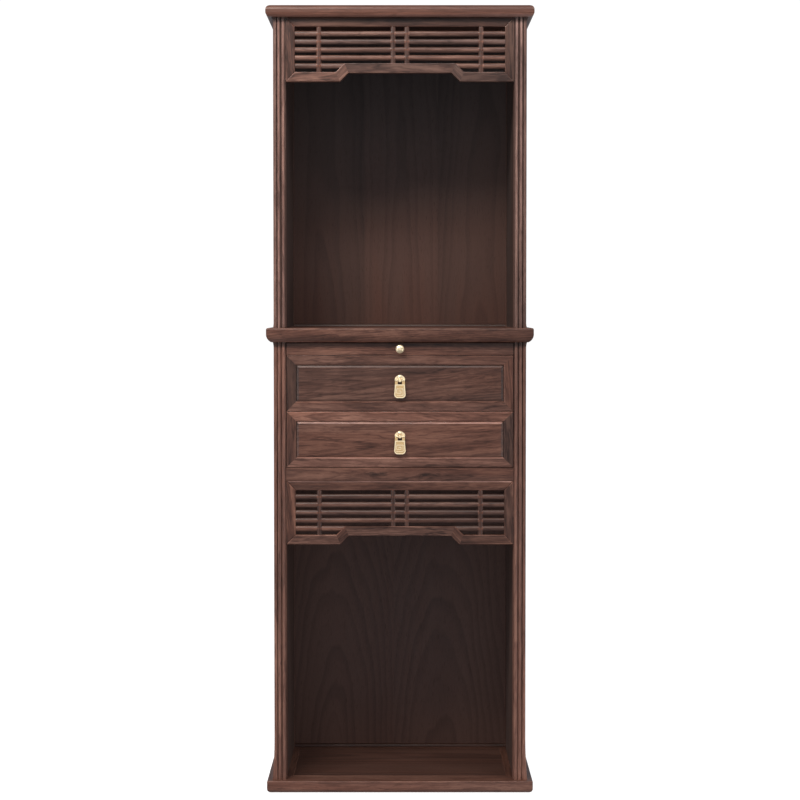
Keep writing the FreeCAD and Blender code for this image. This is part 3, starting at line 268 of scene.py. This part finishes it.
DARK, MIDDLE, LIGHT = (0.037, 0.0145, 0.0090), (0.115, 0.0494, 0.0328), (0.244, 0.118, 0.079)
WALNUT = wood("walnut", DARK, MIDDLE, LIGHT)
BROAD = wood("walnut_broad", DARK, MIDDLE, LIGHT, spacing=0.0165, rings=0.75, streaks=0.18, rough=0.48,
             quivers=(4, 15, 15), uneven=0.030)
KNOTTED = wood("walnut_knotted", DARK, MIDDLE, LIGHT,
               knots=((-0.053, 0.000, 0.0082, 0.24, 0.010), (0.057, -0.001, 0.0052, 0.45, -0.010)))
PLAIN = wood("inner_wood", (0.118, 0.061, 0.033), (0.242, 0.135, 0.078), (0.37, 0.226, 0.140),
             spacing=0.004, rough=0.55, pores=0.3)


# ------------------------------------------------------------------ brass
def brass():
    m, t = material("brass")
    place = t.node("ShaderNodeTexCoord").outputs["Object"]
    blotch = t.noise(place, (90, 90, 90), 3.0, 0.6)
    brush = t.noise(place, (2600, 400, 260), 2.0, 0.6, (2, 1, 5))
    pits = t.noise(place, (520, 520, 520), 2.0, 0.5, (7, 3, 1))
    edge = t.attribute("edge").outputs["Fac"]
    hollow = t.node("ShaderNodeAmbientOcclusion", {"Distance": 0.0022}, samples=8, only_local=True).outputs["AO"]
    hollow = t.spread(hollow, 0.25, 0.80)
    deep = t.attribute("deep").outputs["Fac"]
    colour = t.ramp(blotch, [(0.30, (0.93, 0.70, 0.41)), (0.50, (0.97, 0.78, 0.50)), (0.70, (0.99, 0.85, 0.60))])
    colour = t.mix(t.math("MULTIPLY", deep, 0.80), colour, (0.60, 0.38, 0.16))
    colour = t.mix(hollow, (0.26, 0.14, 0.055), colour)
    # arrises are painted paler, most of all those that face up (painted highlight)
    colour = t.mix(t.math("MULTIPLY", edge, 0.9), colour, (1.0, 0.91, 0.72))
    gloss = t.math("MULTIPLY_ADD", t.math("SUBTRACT", blotch, 0.5), 0.20, 0.30)
    gloss = t.math("MULTIPLY_ADD", t.math("SUBTRACT", 1.0, hollow), 0.25, gloss)
    height = t.math("MULTIPLY_ADD", pits, 0.8, t.math("MULTIPLY", brush, 0.25))
    bump = t.node("ShaderNodeBump", {"Strength": 0.22, "Distance": 0.0002, "Height": height})
    shader = t.node("ShaderNodeBsdfPrincipled",
                    {"Base Color": colour, "Metallic": 0.85, "Roughness": gloss, "Normal": bump.outputs[0]})
    out = t.node("ShaderNodeOutputMaterial")
    t.tree.links.new(shader.outputs[0], out.inputs["Surface"])
    return m


BRASS = brass()


# ------------------------------------------------------------------ meshes from the frame's solids
def solids_of(node):
    """The separate solids of a node, each closed, with flat faces in one piece."""
    bm = bmesh.new()
    bm.from_mesh(NODES[node].data)
    bmesh.ops.remove_doubles(bm, verts=bm.verts, dist=2e-6)
    bm.faces.index_update()
    parent = list(range(len(bm.faces)))

    def top(i):
        while parent[i] != i:
            parent[i] = parent[parent[i]]
            i = parent[i]
        return i

    for e in bm.edges:
        if len(e.link_faces) == 2:
            parent[top(e.link_faces[0].index)] = top(e.link_faces[1].index)
    groups = {}
    for f in bm.faces:
        groups.setdefault(top(f.index), []).append(f)
    found = []
    for faces in groups.values():
        first = max(faces, key=lambda f: f.calc_area()).normal
        if all(abs(f.normal.dot(first)) > 0.999 for f in faces):
            continue  # a face that two solids share
        solid, made = bmesh.new(), {}
        for f in faces:
            for v in f.verts:
                if v not in made:
                    made[v] = solid.verts.new(v.co)
            try:
                solid.faces.new([made[v] for v in f.verts])
            except ValueError:
                pass
        close(solid)
        bmesh.ops.dissolve_limit(solid, angle_limit=math.radians(0.4), verts=solid.verts, edges=solid.edges)
        found.append(solid)
    bm.free()
    return sorted(found, key=lambda b: tuple(round(c, 4) for c in middle_of(b)))


def close(bm):
    rim = [e for e in bm.edges if len(e.link_faces) == 1]
    if rim:
        bmesh.ops.holes_fill(bm, edges=rim, sides=0)
    bmesh.ops.recalc_face_normals(bm, faces=bm.faces)


def box_of(bm):
    co = [v.co for v in bm.verts]
    return (Vector([min(c[i] for c in co) for i in range(3)]), Vector([max(c[i] for c in co) for i in range(3)]))


def middle_of(bm):
    low, high = box_of(bm)
    return (low + high) / 2


def sawn(bm, axis, places):
    """A wide panel as the boards that it is glued up from."""
    boards = []
    for low, high in zip([None, *places], [*places, None]):
        b = bm.copy()
        for place, above in ((low, True), (high, False)):
            if place is not None:
                bmesh.ops.bisect_plane(b, geom=b.verts[:] + b.edges[:] + b.faces[:], dist=1e-7,
                                       plane_co=AXES[axis] * place, plane_no=AXES[axis],
                                       clear_inner=above, clear_outer=not above)
                close(b)
        boards.append(b)
    return boards


def eased(bm, weight_of, width, segments, least=34):
    """The solid with its arrises rounded. weight_of gives each sharp edge its share of width.
    Returns points, faces and for each face how much painted highlight it gets: 1 on rounded arrises that face up, 0.2
    on the other rounded arrises, 0 elsewhere."""
    layer = bm.edges.layers.float.new("bevel_weight_edge")
    some = False
    for e in bm.edges:
        if len(e.link_faces) == 2 and e.is_convex and e.calc_face_angle(0) > math.radians(least):
            e[layer] = weight_of(e)
            some = some or e[layer] > 0
    me = bpy.data.meshes.new("work")
    bm.to_mesh(me)
    me.materials.append(None)
    me.materials.append(None)
    ob = bpy.data.objects.new("work", me)
    scene.collection.objects.link(ob)
    if some:
        mod = ob.modifiers.new("arris", "BEVEL")
        mod.limit_method = "WEIGHT"
        mod.width, mod.segments, mod.material = width, segments, 1
        mod.use_clamp_overlap = True
        mod.miter_outer = "MITER_SHARP"
    dg = bpy.context.evaluated_depsgraph_get()
    done = ob.evaluated_get(dg).to_mesh()
    points = [v.co.copy() for v in done.vertices]
    faces = [tuple(p.vertices) for p in done.polygons]
    flags = [(1.0 if p.normal.z > (0.25 if least > 30 else 0.05) else 0.2) if p.material_index == 1 else 0.0
             for p in done.polygons]
    ob.evaluated_get(dg).to_mesh_clear()
    bpy.data.objects.remove(ob)
    bpy.data.meshes.remove(me)
    return points, faces, flags


def assemble(name, node, parts, finish, slot):
    """One piece of several closed solids, with its attributes, riding where its node rides."""
    points, faces, flags, deep, below, data = [], [], [], [], [], {}
    for part in parts:
        start = len(points)
        points += part["points"]
        faces += [tuple(i + start for i in f) for f in part["faces"]]
        flags += part["flags"]
        deep += part["deep"]
        below += part.get("below", [1.0] * len(part["points"]))
        for key, values in part["data"].items():
            data.setdefault(key, []).extend(values)
    me = bpy.data.meshes.new(name)
    me.from_pydata([tuple(p) for p in points], [], faces)
    me.validate()
    for key, values in data.items():
        a = me.attributes.new(key, "FLOAT_VECTOR", "POINT")
        a.data.foreach_set("vector", [c for v in values for c in v])
    a = me.attributes.new("edge", "FLOAT", "FACE")
    a.data.foreach_set("value", flags)
    a = me.attributes.new("deep", "FLOAT", "CORNER")
    a.data.foreach_set("value", deep)
    a = me.attributes.new("below", "FLOAT", "POINT")
    a.data.foreach_set("value", below)
    me.materials.append(finish)
    me.shade_smooth()
    me.set_sharp_from_angle(angle=math.radians(40))
    ob = bpy.data.objects.new(name, me)
    scene.collection.objects.link(ob)
    mod = ob.modifiers.new("even_shading", "WEIGHTED_NORMAL")
    mod.keep_sharp = True
    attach(ob, BODY_OF[node])
    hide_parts(node)
    return ob


# ------------------------------------------------------------------ planks
# brightness, redness and contrast of the outer faces of the wall panels, which are oiled like the frame; their inner
# faces keep the greyer, lower-contrast tint given to each panel, with a brightness set for the light and shade inside
# the cabinet (painted light and painted shade)
OUTSIDE = (1.0, 0.0, 0.60)


def on_outside(point, middle, look):
    axis, sign = look["outside"]
    return sign * (point[axis] - middle[axis]) > 0


def plank_data(points, low, high, rng, look, sloping=0):
    """Where each point lies in the plank that it was cut from."""
    size = high - low
    order = sorted(range(3), key=lambda i: size[i])
    along, across, through = AXES[order[2]], AXES[order[1]], AXES[order[0]]
    if sloping:
        along = Vector((sloping, 0, 1)).normalized()
        across = Vector((-1, 0, sloping)).normalized()
        through = AXES[1]
    if look.get("grain") is not None:
        along = AXES[look["grain"]]
        others = [i for i in order if i != look["grain"]]
        across, through = AXES[others[1]], AXES[others[0]]
    middle = (low + high) / 2
    width = abs((high - low).dot(across)) if not sloping else 0.03
    cut = look.get("cut") or rng.choice(("flat", "flat", "rift"))
    if cut == "flat":
        v0 = rng.uniform(-0.22, 0.22) * width
        w0 = rng.uniform(0.030, 0.060)
        lean_w = rng.choice((-1, 1)) * rng.uniform(0.012, 0.035)
        lean_v = rng.uniform(-0.012, 0.012)
    else:
        v0 = rng.choice((-1, 1)) * (width * 0.5 + rng.uniform(0.02, 0.08))
        w0 = rng.uniform(0.02, 0.05)
        lean_w = rng.uniform(-0.010, 0.010)
        lean_v = rng.uniform(-0.014, 0.014)
    v0 = look.get("v0", v0)
    w0 = look.get("w0", w0)
    lean_w = look.get("lean", lean_w)
    grow = rng.uniform(0.85, 1.2)
    shift = Vector([rng.uniform(0, 9) for _ in range(3)])
    slope = look.get("slope", rng.uniform(-0.035, 0.035))
    bright = look.get("bright", 1.0) * (1 + rng.uniform(-1, 1) * look.get("vary", 0.07))
    tint = (bright, rng.uniform(-0.10, 0.10) + look.get("red", 0.0), look.get("contrast", 1.0))
    plank, heart = [], []
    for p in points:
        d = p - middle
        u, v, w = d.dot(along), d.dot(across), d.dot(through)
        v += slope * u
        plank.append(Vector((u, v, w)) + shift)
        heart.append(((v - v0 + lean_v * u) * grow, (w + w0 + lean_w * u) * grow, u))
    tints = [tint] * len(points)
    if "top" in look:  # brightness and redness change up the board
        more, red = look["top"]
        rises = [(p.z - low.z) / size.z for p in points]
        tints = [(bright * (1 + (more - 1) * r), tint[1] + (red - tint[1]) * r, tint[2]) for r in rises]
    if "outside" in look:
        tints = [OUTSIDE if on_outside(p, middle, look) else own for p, own in zip(points, tints)]
    return {"plank": plank, "heart": heart, "tint": tints}


# painted light on the mouldings, in three tables: how much paler the crowns of the post beads are painted, by height
# (painted highlight); how dark the grooves between the beads are painted and over what depth (painted shade); how
# much paler the up-facing slopes of the drawer fronts are painted (painted highlight)
BEAD_HIGHLIGHTS = {"upper_post_front_left": lambda h: 0.14 + 0.20 * h, "upper_post_front_right": lambda h: 0.02 + 0.26 * h,
         "lower_post_front_left": lambda h: 0.03 + 0.03 * h, "lower_post_front_right": lambda h: 0.03 + 0.01 * h}
QUIRK_SHADES = {"upper": (0.65, 0.0040), "lower": (0.36, 0.0062)}
LINE_HIGHLIGHTS = {"upper_drawer_front_frame": 0.10, "lower_drawer_front_frame": 0.28,
         "lower_drawer_front_panel": 0.36}


def ramp(value, start, end):
    return min(1.0, max(0.0, (value - start) / (end - start)))


# large soft painted shades that lie over whole boards: where a board is painted darker (above 0) or lighter (below 0)
# to stand in for how the light falls on it (painted shade and painted light). h runs up the piece, x and y are places
# in the frame.
SHADES = {
    "upper_post_front_left": lambda h, x, y: 0.26 * ramp(h, 0.75, 0.97),
    "lower_post_front_left": lambda h, x, y: 0.18 * ramp(h, 0.72, 0.95),
    "lower_post_front_right": lambda h, x, y: 0.66 * ramp(h, 0.50, 0.95),
    "upper_back_panel": lambda h, x, y: max(0.0, 0.27 * (1 - ramp(h, 0.55, 0.88)) + 0.10 * ramp(x, 0.08, 0.2)
                                            * (1 - ramp(h, 0.2, 0.4)) - 0.18 * math.exp(
                                                -((h - 0.5) / 0.18) ** 2 - (x / 0.12) ** 2)),
    "lower_back_panel": lambda h, x, y: max(0.0, 0.23 * (1 - ramp(h, 0.55, 0.88)) + (
        0.30 * ramp(abs(x), 0.10, 0.17) - 0.08) * (1 - ramp(h, 0.2, 0.4))),
    "upper_side_panel_left": lambda h, x, y: 0.35 * (1 - ramp(h, 0.65, 0.92)) + 0.2 * math.exp(-((h - 0.5) / 0.15) ** 2),
    "upper_side_panel_right": lambda h, x, y: 0.3 * math.exp(-((h - 0.5) / 0.15) ** 2),
    "upper_drawer_front_panel": lambda h, x, y: 0.17 * ramp(x, 0.0, 0.15),
    "lower_side_panel_left": lambda h, x, y: 0.27 * (1 - ramp(h, 0.60, 0.92)),
    "lower_side_panel_right": lambda h, x, y: 0.27 * (1 - ramp(h, 0.60, 0.92)),
    "base_panel": lambda h, x, y: 0.38 * (1 - ramp(y, -0.02, 0.12)),
    "fret_slats": lambda h, x, y: 0.14 * ramp(x, 0.0, 0.15) * (1 - ramp(h, 0.4, 0.6)),
    "crown_front_rail": lambda h, x, y: 0.16 * ramp(-x, 0.10, 0.26) + 0.04 * ramp(x, 0.10, 0.26) - 0.01,
    "altar_front_rail": lambda h, x, y: 0.32 * ramp(x, -0.2, 0.0) + 0.13 * ramp(x, 0.0, 0.2),
}


def depths(node, points, faces, face):
    """For every corner of every face a value for painted light and shade: up to 1 where it is painted darker, at the
    bottoms of mouldings and in grooves (painted shade), 0 on plain faces, below 0 where it is painted paler, on
    crowns of beads and slats and on up-facing slopes (painted highlight); on the pull tag, 1 marks the sunk field.
    The broad shades are added on top."""
    values = []
    low, high = min(p.z for p in points), max(p.z for p in points)
    for f in faces:
        down = [points[i].y - face for i in f]
        rise = [(points[i].z - low) / (high - low) for i in f]
        faces_up = normal([points[i] for i in f]).z
        # the crowns of the post beads are painted paler and the grooves between them darker (painted highlight and
        # painted shade)
        if "post_front" in node and max(down) < 0.0045 and max(abs(points[i].x) for i in f) < 0.2774:
            for d, h in zip(down, rise):
                d -= 0.0002
                most, over = QUIRK_SHADES[node[:5]]
                values.append(BEAD_HIGHLIGHTS[node](h) * (d / 0.0005 - 1) if d < 0.0005
                              else min(most, (d - 0.0005) / over))
        # the bullnose is painted darker over its upper part and lighter over its lower curve (painted shade and
        # painted light)
        elif node == "crown_front_rail":
            values += [0.40 * (h - 0.55) if h > 0.55 else -0.95 * (0.55 - h) ** 1.5 for h in rise]
        # the lower half of the nosing is painted lighter (painted light)
        elif node == "altar_front_rail":
            values += [-0.75 * max(0.0, 0.5 - h) ** 1.5 for h in rise]
        # its top face is painted darker (painted shade)
        elif node == "base_front_rail" and faces_up > 0.9:
            values += [0.35] * len(f)
        # the flat field of the lower drawer's panel is painted darker towards the bottom
        elif node == "lower_drawer_front_panel" and max(down) < 1e-4:
            values += [0.36 * (1 - h) for h in rise]
        # the upright sides of the grooves round the panel and frame are painted dark (painted shade)
        elif "_drawer_front_" in node and max(down) < 0.0045 and abs(normal([points[i] for i in f]).x) > (
                0.05 if "_panel" in node else 0.6):
            values += [0.60] * len(f)
        # up-facing slopes near the face are painted paler (painted highlight); other faces are painted darker the
        # deeper they lie (painted shade)
        elif ("_front_frame" in node or "_front_panel" in node) and max(down) < 0.0033:
            values += [-LINE_HIGHLIGHTS[node] * max(0.0, 1 - d / 0.0026) if node in LINE_HIGHLIGHTS and 0.1 < faces_up < 0.95 else
                       0.30 * d / 0.0026 for d in down]
        elif "pull_tag" in node:
            values += [1.0 if min(down) > 0.0012 and max(down) < 0.0016 else 0.0 for d in down]
        # the crowns of the slats are painted a little paler and their flanks darker the deeper they lie (painted
        # highlight and painted shade)
        elif node == "fret_slats":
            values += [(d / 0.0032) * 0.45 - 0.06 if max(down) < 0.0045 else 0.0 for d in down]
        elif node == "fret_bars":
            # the sloped faces at the crossings are painted paler and the lengths between the slats darker, more so
            # the deeper they lie (painted highlight and painted shade)
            values += [(-0.10 if abs(faces_up) > 0.05 else 0.30) + (d / 0.0032) * 0.30
                       if max(down) < 0.0045 else 0.0 for d in down]
        else:
            values += [0.0] * len(f)
    if node in SHADES:
        places = [points[i] for f in faces for i in f]
        floor_z, top_z = reach_of(node)
        values = [v + SHADES[node]((p.z - floor_z) / (top_z - floor_z), p.x, p.y) for v, p in zip(values, places)]
    return values


def reach_of(node):
    heights = [(NODES[node].matrix_world @ v.co).z for v in NODES[node].data.vertices]
    return min(heights), max(heights)


def underside(node):
    return min((NODES[node].matrix_world @ v.co).z for v in NODES[node].data.vertices)


# how far each point lies below the overhanging crown or altar board, for the painted shadow under them
OVERHANGS = dict.fromkeys(("upper_fret_top_rail", "upper_fret_stiles", "upper_post_front_left",
                           "upper_post_front_right"), underside("crown_front_rail"))
OVERHANGS.update(dict.fromkeys(("tray_front", "lower_post_front_left", "lower_post_front_right"),
                               underside("altar_front_rail")))


def key_of(e):
    m = (e.verts[0].co + e.verts[1].co) / 2
    return tuple(round(c * 2e4) for c in m)


def timber(node, finish=WALNUT, slot="walnut", arris=0.0006, front=None, segments=2, boards=None, looks=None, **look):
    """A node as wooden pieces: the solids of the frame, split into boards, arrises eased, grain laid in."""
    solids = solids_of(node)
    if boards:
        axis, places = boards
        solids = [b for s in solids for b in sawn(s, axis, places)]
    seen = {}
    for s in solids:
        for e in s.edges:
            seen[key_of(e)] = seen.get(key_of(e), 0) + 1
    wide = max(arris, front or 0)
    parts = []
    for i, s in enumerate(solids):
        rng = random.Random("%s %d" % (node, i))
        low, high = box_of(s)
        face = low.y

        def weight_of(e):
            if seen[key_of(e)] > 1:
                return 0.0  # a glued joint, planed flush
            if front and max(v.co.y for v in e.verts) < face + 1e-5:
                return front / wide
            return arris / wide

        points, faces, flags = eased(s, weight_of, wide, segments, 15 if "_front_panel" in node else 34)
        if "_drawer_front_" in node:
            top_of_front = max(v.co.z for v in NODES[node].data.vertices)
            for k, f in enumerate(faces):
                if "_frame" in node and min(points[j].z for j in f) > top_of_front - 0.003:
                    flags[k] = 0.0  # in the gap above the drawer
                if abs(normal([points[j] for j in f]).x) > (0.05 if "_panel" in node else 0.6):
                    flags[k] = 0.0  # the upright arrises get no painted highlight
        one = dict(look)
        # each piece's look scales how much painted highlight its up-facing arrises get (painted highlight)
        flags = [v * look.get("rubbed", 1.0) if v > 0.9 else v for v in flags]
        if looks:
            one.update(looks[i % len(looks)])
        sloping = 0
        if "bottom_rail" in node and high.x - low.x < 0.07:
            sloping = 1 if low.x < 0 else -1
        data = plank_data(points, low, high, rng, one, sloping)
        data["spot"] = [tuple(p - (low + high) / 2)[0:1] + (p.z - (low.z + high.z) / 2, p.y) for p in points]
        deep = depths(node, points, faces, face)
        if "outside" in one:
            corners = [points[j] for f in faces for j in f]
            deep = [0.0 if on_outside(c, (low + high) / 2, one) else v for v, c in zip(deep, corners)]
        parts.append({"points": points, "faces": faces, "flags": flags, "data": data, "deep": deep,
                      "below": [OVERHANGS[node] - p.z if node in OVERHANGS else 1.0 for p in points]})
        s.free()
    return assemble(node + "_made", node, parts, finish, slot)


FACE = {"contrast": 1.45}
timber("base_front_rail", contrast=1.0, bright=1.58, red=-0.15)
timber("altar_front_rail", contrast=1.5, slope=0.10, bright=1.09, red=0.2)
timber("crown_front_rail", bright=1.07, contrast=0.75)
for board in ("base", "altar", "crown"):
    timber(board + "_rear_rail")
    timber(board + "_end_rails")
timber("base_panel", BROAD, boards=(1, [0.012]), cut="flat", bright=0.92, contrast=0.5, red=-0.2)
timber("altar_panel", boards=(1, [0.012]), cut="flat")
timber("crown_panel", boards=(1, [0.012]), cut="flat")
# each post front is made about twice as bright as the frame's other wood, standing in for the light and sheen that
# the beaded fronts catch (painted light and painted highlight); the redness offsets turn the upper posts greyer
POSTS = {"upper_left": 1.86, "upper_right": 1.55, "lower_left": 1.95, "lower_right": 2.5}
POST_REDNESS = {"upper_left": -0.55, "upper_right": -0.50, "lower_left": -0.10, "lower_right": -0.20}
for part in ("lower", "upper"):
    for side in ("left", "right"):
        timber("%s_post_front_%s" % (part, side), arris=0.0003, contrast=1.1, vary=0.0,
               bright=POSTS[part + "_" + side], red=POST_REDNESS[part + "_" + side])
        timber("%s_post_rear_%s" % (part, side), arris=0.0003)
# the wall and back panels: the tints given here are for their inner faces, greyer and of lower contrast than the
# frame, with a brightness for each panel set for the light and shade inside the cabinet (painted light and painted
# shade)
timber("upper_side_panel_left", BROAD, boards=(1, [-0.02]), cut="flat", outside=(0, -1), bright=1.13, contrast=0.4, red=-0.80)
timber("upper_side_panel_right", BROAD, boards=(1, [-0.02]), cut="flat", outside=(0, 1), bright=0.58, contrast=0.4, red=-0.70)
timber("lower_side_panel_left", BROAD, boards=(1, [-0.02]), cut="flat", outside=(0, -1), bright=1.25, contrast=0.4, red=-0.70)
timber("lower_side_panel_right", BROAD, boards=(1, [-0.02]), cut="flat", outside=(0, 1), bright=1.44, contrast=0.4, red=-0.70)
timber("lower_back_panel", BROAD, boards=(0, [-0.015]), outside=(1, 1), bright=1.57, vary=0.03, contrast=0.26,
       red=-0.45, looks=[
    {"cut": "flat", "v0": -0.012, "w0": 0.115, "lean": 0.20},
    {"cut": "flat", "v0": -0.020, "w0": 0.130, "lean": 0.17}])
# the back of the niche is painted brighter and greyer towards the top: the greyness stands in for the cool shade up
# there (painted shade), the brightening lifts that shade (painted light)
timber("upper_back_panel", BROAD, boards=(0, [-0.086, 0.092]), cut="flat", outside=(1, 1), vary=0.03, contrast=0.22,
       red=0.25, top=(1.12, -1.15), looks=[
    {"bright": 0.88}, {"bright": 1.08}, {"bright": 0.93}])
timber("side_rails")
timber("back_battens", PLAIN, "inner_wood")
# the small beads at the feet of the back panels are made darker than the frame, so that they show no bright line
# where they catch the light (painted shade)
timber("corner_beads", arris=0.0002, bright=0.55)
SLATS = {"vary": 0.16, "contrast": 1.4}
# the stiles and the bottom-rail pieces of each fret are made darker from left to right, standing in for the light
# falling more strongly on the left (painted light and painted shade)
for fret, top, stiles, low in (("upper", 0.57, (1.05, 0.45), (1.30, 1.07, 0.78, 0.66, 0.52)),
                               ("lower", 0.80, (0.95, 0.82), (1.24, 1.14, 1.06, 0.84, 0.67))):
    timber(fret + "_fret_top_rail", front=0.0024, **FACE, bright=top, rubbed=0.8 if fret == "upper" else 2.2,
           red=0.0 if fret == "upper" else 0.25)
    timber(fret + "_fret_stiles", front=0.0014, contrast=2.2, slope=0.09, looks=[{"bright": b} for b in stiles])
    timber(fret + "_fret_bottom_rail", front=0.0014, contrast=1.9, red=-0.35 if fret == "upper" else 0.0,
           looks=[{"bright": b} for b in low])
timber("fret_slats", arris=0.0004, **SLATS, looks=[
    {"bright": b, "red": r} for b, r in (
        (0.90, 0.0), (1.0, -0.4), (0.84, 0.0), (0.90, -0.3), (0.86, -0.1), (0.90, 0.0),
        (1.0, -0.3), (1.05, -0.45), (1.0, -0.5), (1.0, -0.3), (0.80, -0.2), (0.95, -0.3))])
timber("fret_bars", arris=0.0004, contrast=1.4, bright=0.95)
timber("drawer_rail", KNOTTED, front=0.0010, **FACE, bright=1.08, red=0.05, rubbed=0.1)
timber("bay_floor", PLAIN, "inner_wood")
timber("runners", PLAIN, "inner_wood")
timber("tray_board", PLAIN, "inner_wood")
timber("tray_front", arris=0.0005, **FACE, bright=1.12, red=-0.15)
FRAMES = {"upper_drawer": (0.44, 1.32, 1.19, 0.92), "lower_drawer": (0.90, 1.70, 1.64, 0.56)}
for drawer in ("upper_drawer", "lower_drawer"):
    timber(drawer + "_front_frame", arris=0.0009, contrast=1.6, vary=0.03,
           looks=[{"bright": b, "red": r} for b, r in zip(FRAMES[drawer], (0.0, -0.2, 0.0, 0.0))])
    upper = drawer == "upper_drawer"
    timber(drawer + "_front_panel", arris=0.0013 if upper else 0.0020, cut="flat", **FACE, vary=0.03, slope=-0.06,
           bright=0.88 if upper else 1.13, rubbed=0.3 if upper else 3.5)
    for inner in ("sides", "back", "bottom"):
        timber("%s_%s" % (drawer, inner), PLAIN, "inner_wood")


# ------------------------------------------------------------------ brass fittings
FITTINGS = bpy.data.collections.new("fittings")


def fitting(node, arris, segments=2):
    parts = []
    for s in solids_of(node):
        points, faces, flags = eased(s, lambda e: 1.0, arris, segments)
        face = min(p.y for p in points)
        parts.append({"points": points, "faces": faces, "flags": flags, "data": {},
                      "deep": depths(node, points, faces, face)})
        s.free()
    ob = assemble(node + "_made", node, parts, BRASS, "brass")
    FITTINGS.objects.link(ob)
    return ob


fitting("tray_knob", 0.0003)
for drawer in ("upper_drawer", "lower_drawer"):
    fitting(drawer + "_pull_plate", 0.00025)
    fitting(drawer + "_pull_pin", 0.0002)
    fitting(drawer + "_pull_tag", 0.00025)


# ------------------------------------------------------------------ floor, light
floor_mesh = bpy.data.meshes.new("floor")
floor_mesh.from_pydata([(-30, -30, 0), (30, -30, 0), (30, 30, 0), (-30, 30, 0)], [], [(0, 1, 2, 3)])
floor = bpy.data.objects.new("floor", floor_mesh)
scene.collection.objects.link(floor)
pale, t = material("pale_floor")
shader = t.node("ShaderNodeBsdfPrincipled", {"Base Color": (0.92, 0.92, 0.91, 1), "Roughness": 0.7,
                                             "Emission Color": (1, 1, 1, 1), "Emission Strength": 0.8})
out = t.node("ShaderNodeOutputMaterial")
t.tree.links.new(shader.outputs[0], out.inputs["Surface"])
floor_mesh.materials.append(pale)
floor.visible_diffuse = False
floor.visible_glossy = False

world = bpy.data.worlds.new("studio")
scene.world = world
world.use_nodes = True
t = Tree(world.node_tree)
seen_white = t.node("ShaderNodeBackground", {"Color": (1, 1, 1, 1), "Strength": 1.05})
fill = t.node("ShaderNodeBackground", {"Color": (0.95, 0.99, 1.07, 1), "Strength": 0.310})
path = t.node("ShaderNodeLightPath")
both = t.node("ShaderNodeMixShader")
t.tree.links.new(path.outputs["Is Camera Ray"], both.inputs[0])
t.tree.links.new(fill.outputs[0], both.inputs[1])
t.tree.links.new(seen_white.outputs[0], both.inputs[2])
out = t.node("ShaderNodeOutputWorld")
t.tree.links.new(both.outputs[0], out.inputs["Surface"])


def softbox(name, place, aim, size, power, colour=(1, 1, 1)):
    light = bpy.data.lights.new(name, "AREA")
    light.shape, light.size, light.size_y = "RECTANGLE", size[0], size[1]
    light.energy, light.color = power, colour
    ob = bpy.data.objects.new(name, light)
    ob.location = place
    ob.rotation_euler = (Vector(aim) - Vector(place)).to_track_quat("-Z", "Y").to_euler()
    scene.collection.objects.link(ob)
    return ob


softbox("key", (-0.70, -1.65, 2.85), (0.0, -0.1, 1.2), (0.5, 0.5), 20.4, (1.0, 0.93, 0.84))
softbox("strip_top", (0, -1.6, 3.10), (0, -0.15, 0.9), (3.2, 0.3), 21.0)
softbox("raised_left", (-1.75, -1.9, 2.95), (0, -0.15, 0.9), (0.9, 0.9), 19.7)
softbox("raised_right", (1.75, -1.9, 2.95), (0, -0.15, 0.9), (0.9, 0.9), 8.3)
softbox("strip_left", (-1.7, -1.5, 1.6), (0, -0.15, 1.1), (0.12, 2.2), 6.0)
softbox("strip_right", (1.7, -1.5, 1.6), (0, -0.15, 1.1), (0.12, 2.2), 3.5)
softbox("low_left", (-1.9, -1.6, 0.3), (0, -0.1, 0.5), (0.6, 0.5), 3.2)
softbox("low_right", (1.9, -1.6, 0.3), (0, -0.1, 0.5), (0.6, 0.5), 4.2)

# a white card in front, for the brass to mirror
card = softbox("front_card", (0, -3.6, 1.25), (0, 0, 1.0), (2.6, 2.6), 16.5)
card.light_linking.receiver_collection = FITTINGS
card.visible_camera = False

scene.view_settings.view_transform = "Standard"
scene.view_settings.look = "None"
scene.view_settings.exposure = 0.0
scene.view_settings.gamma = 1.0
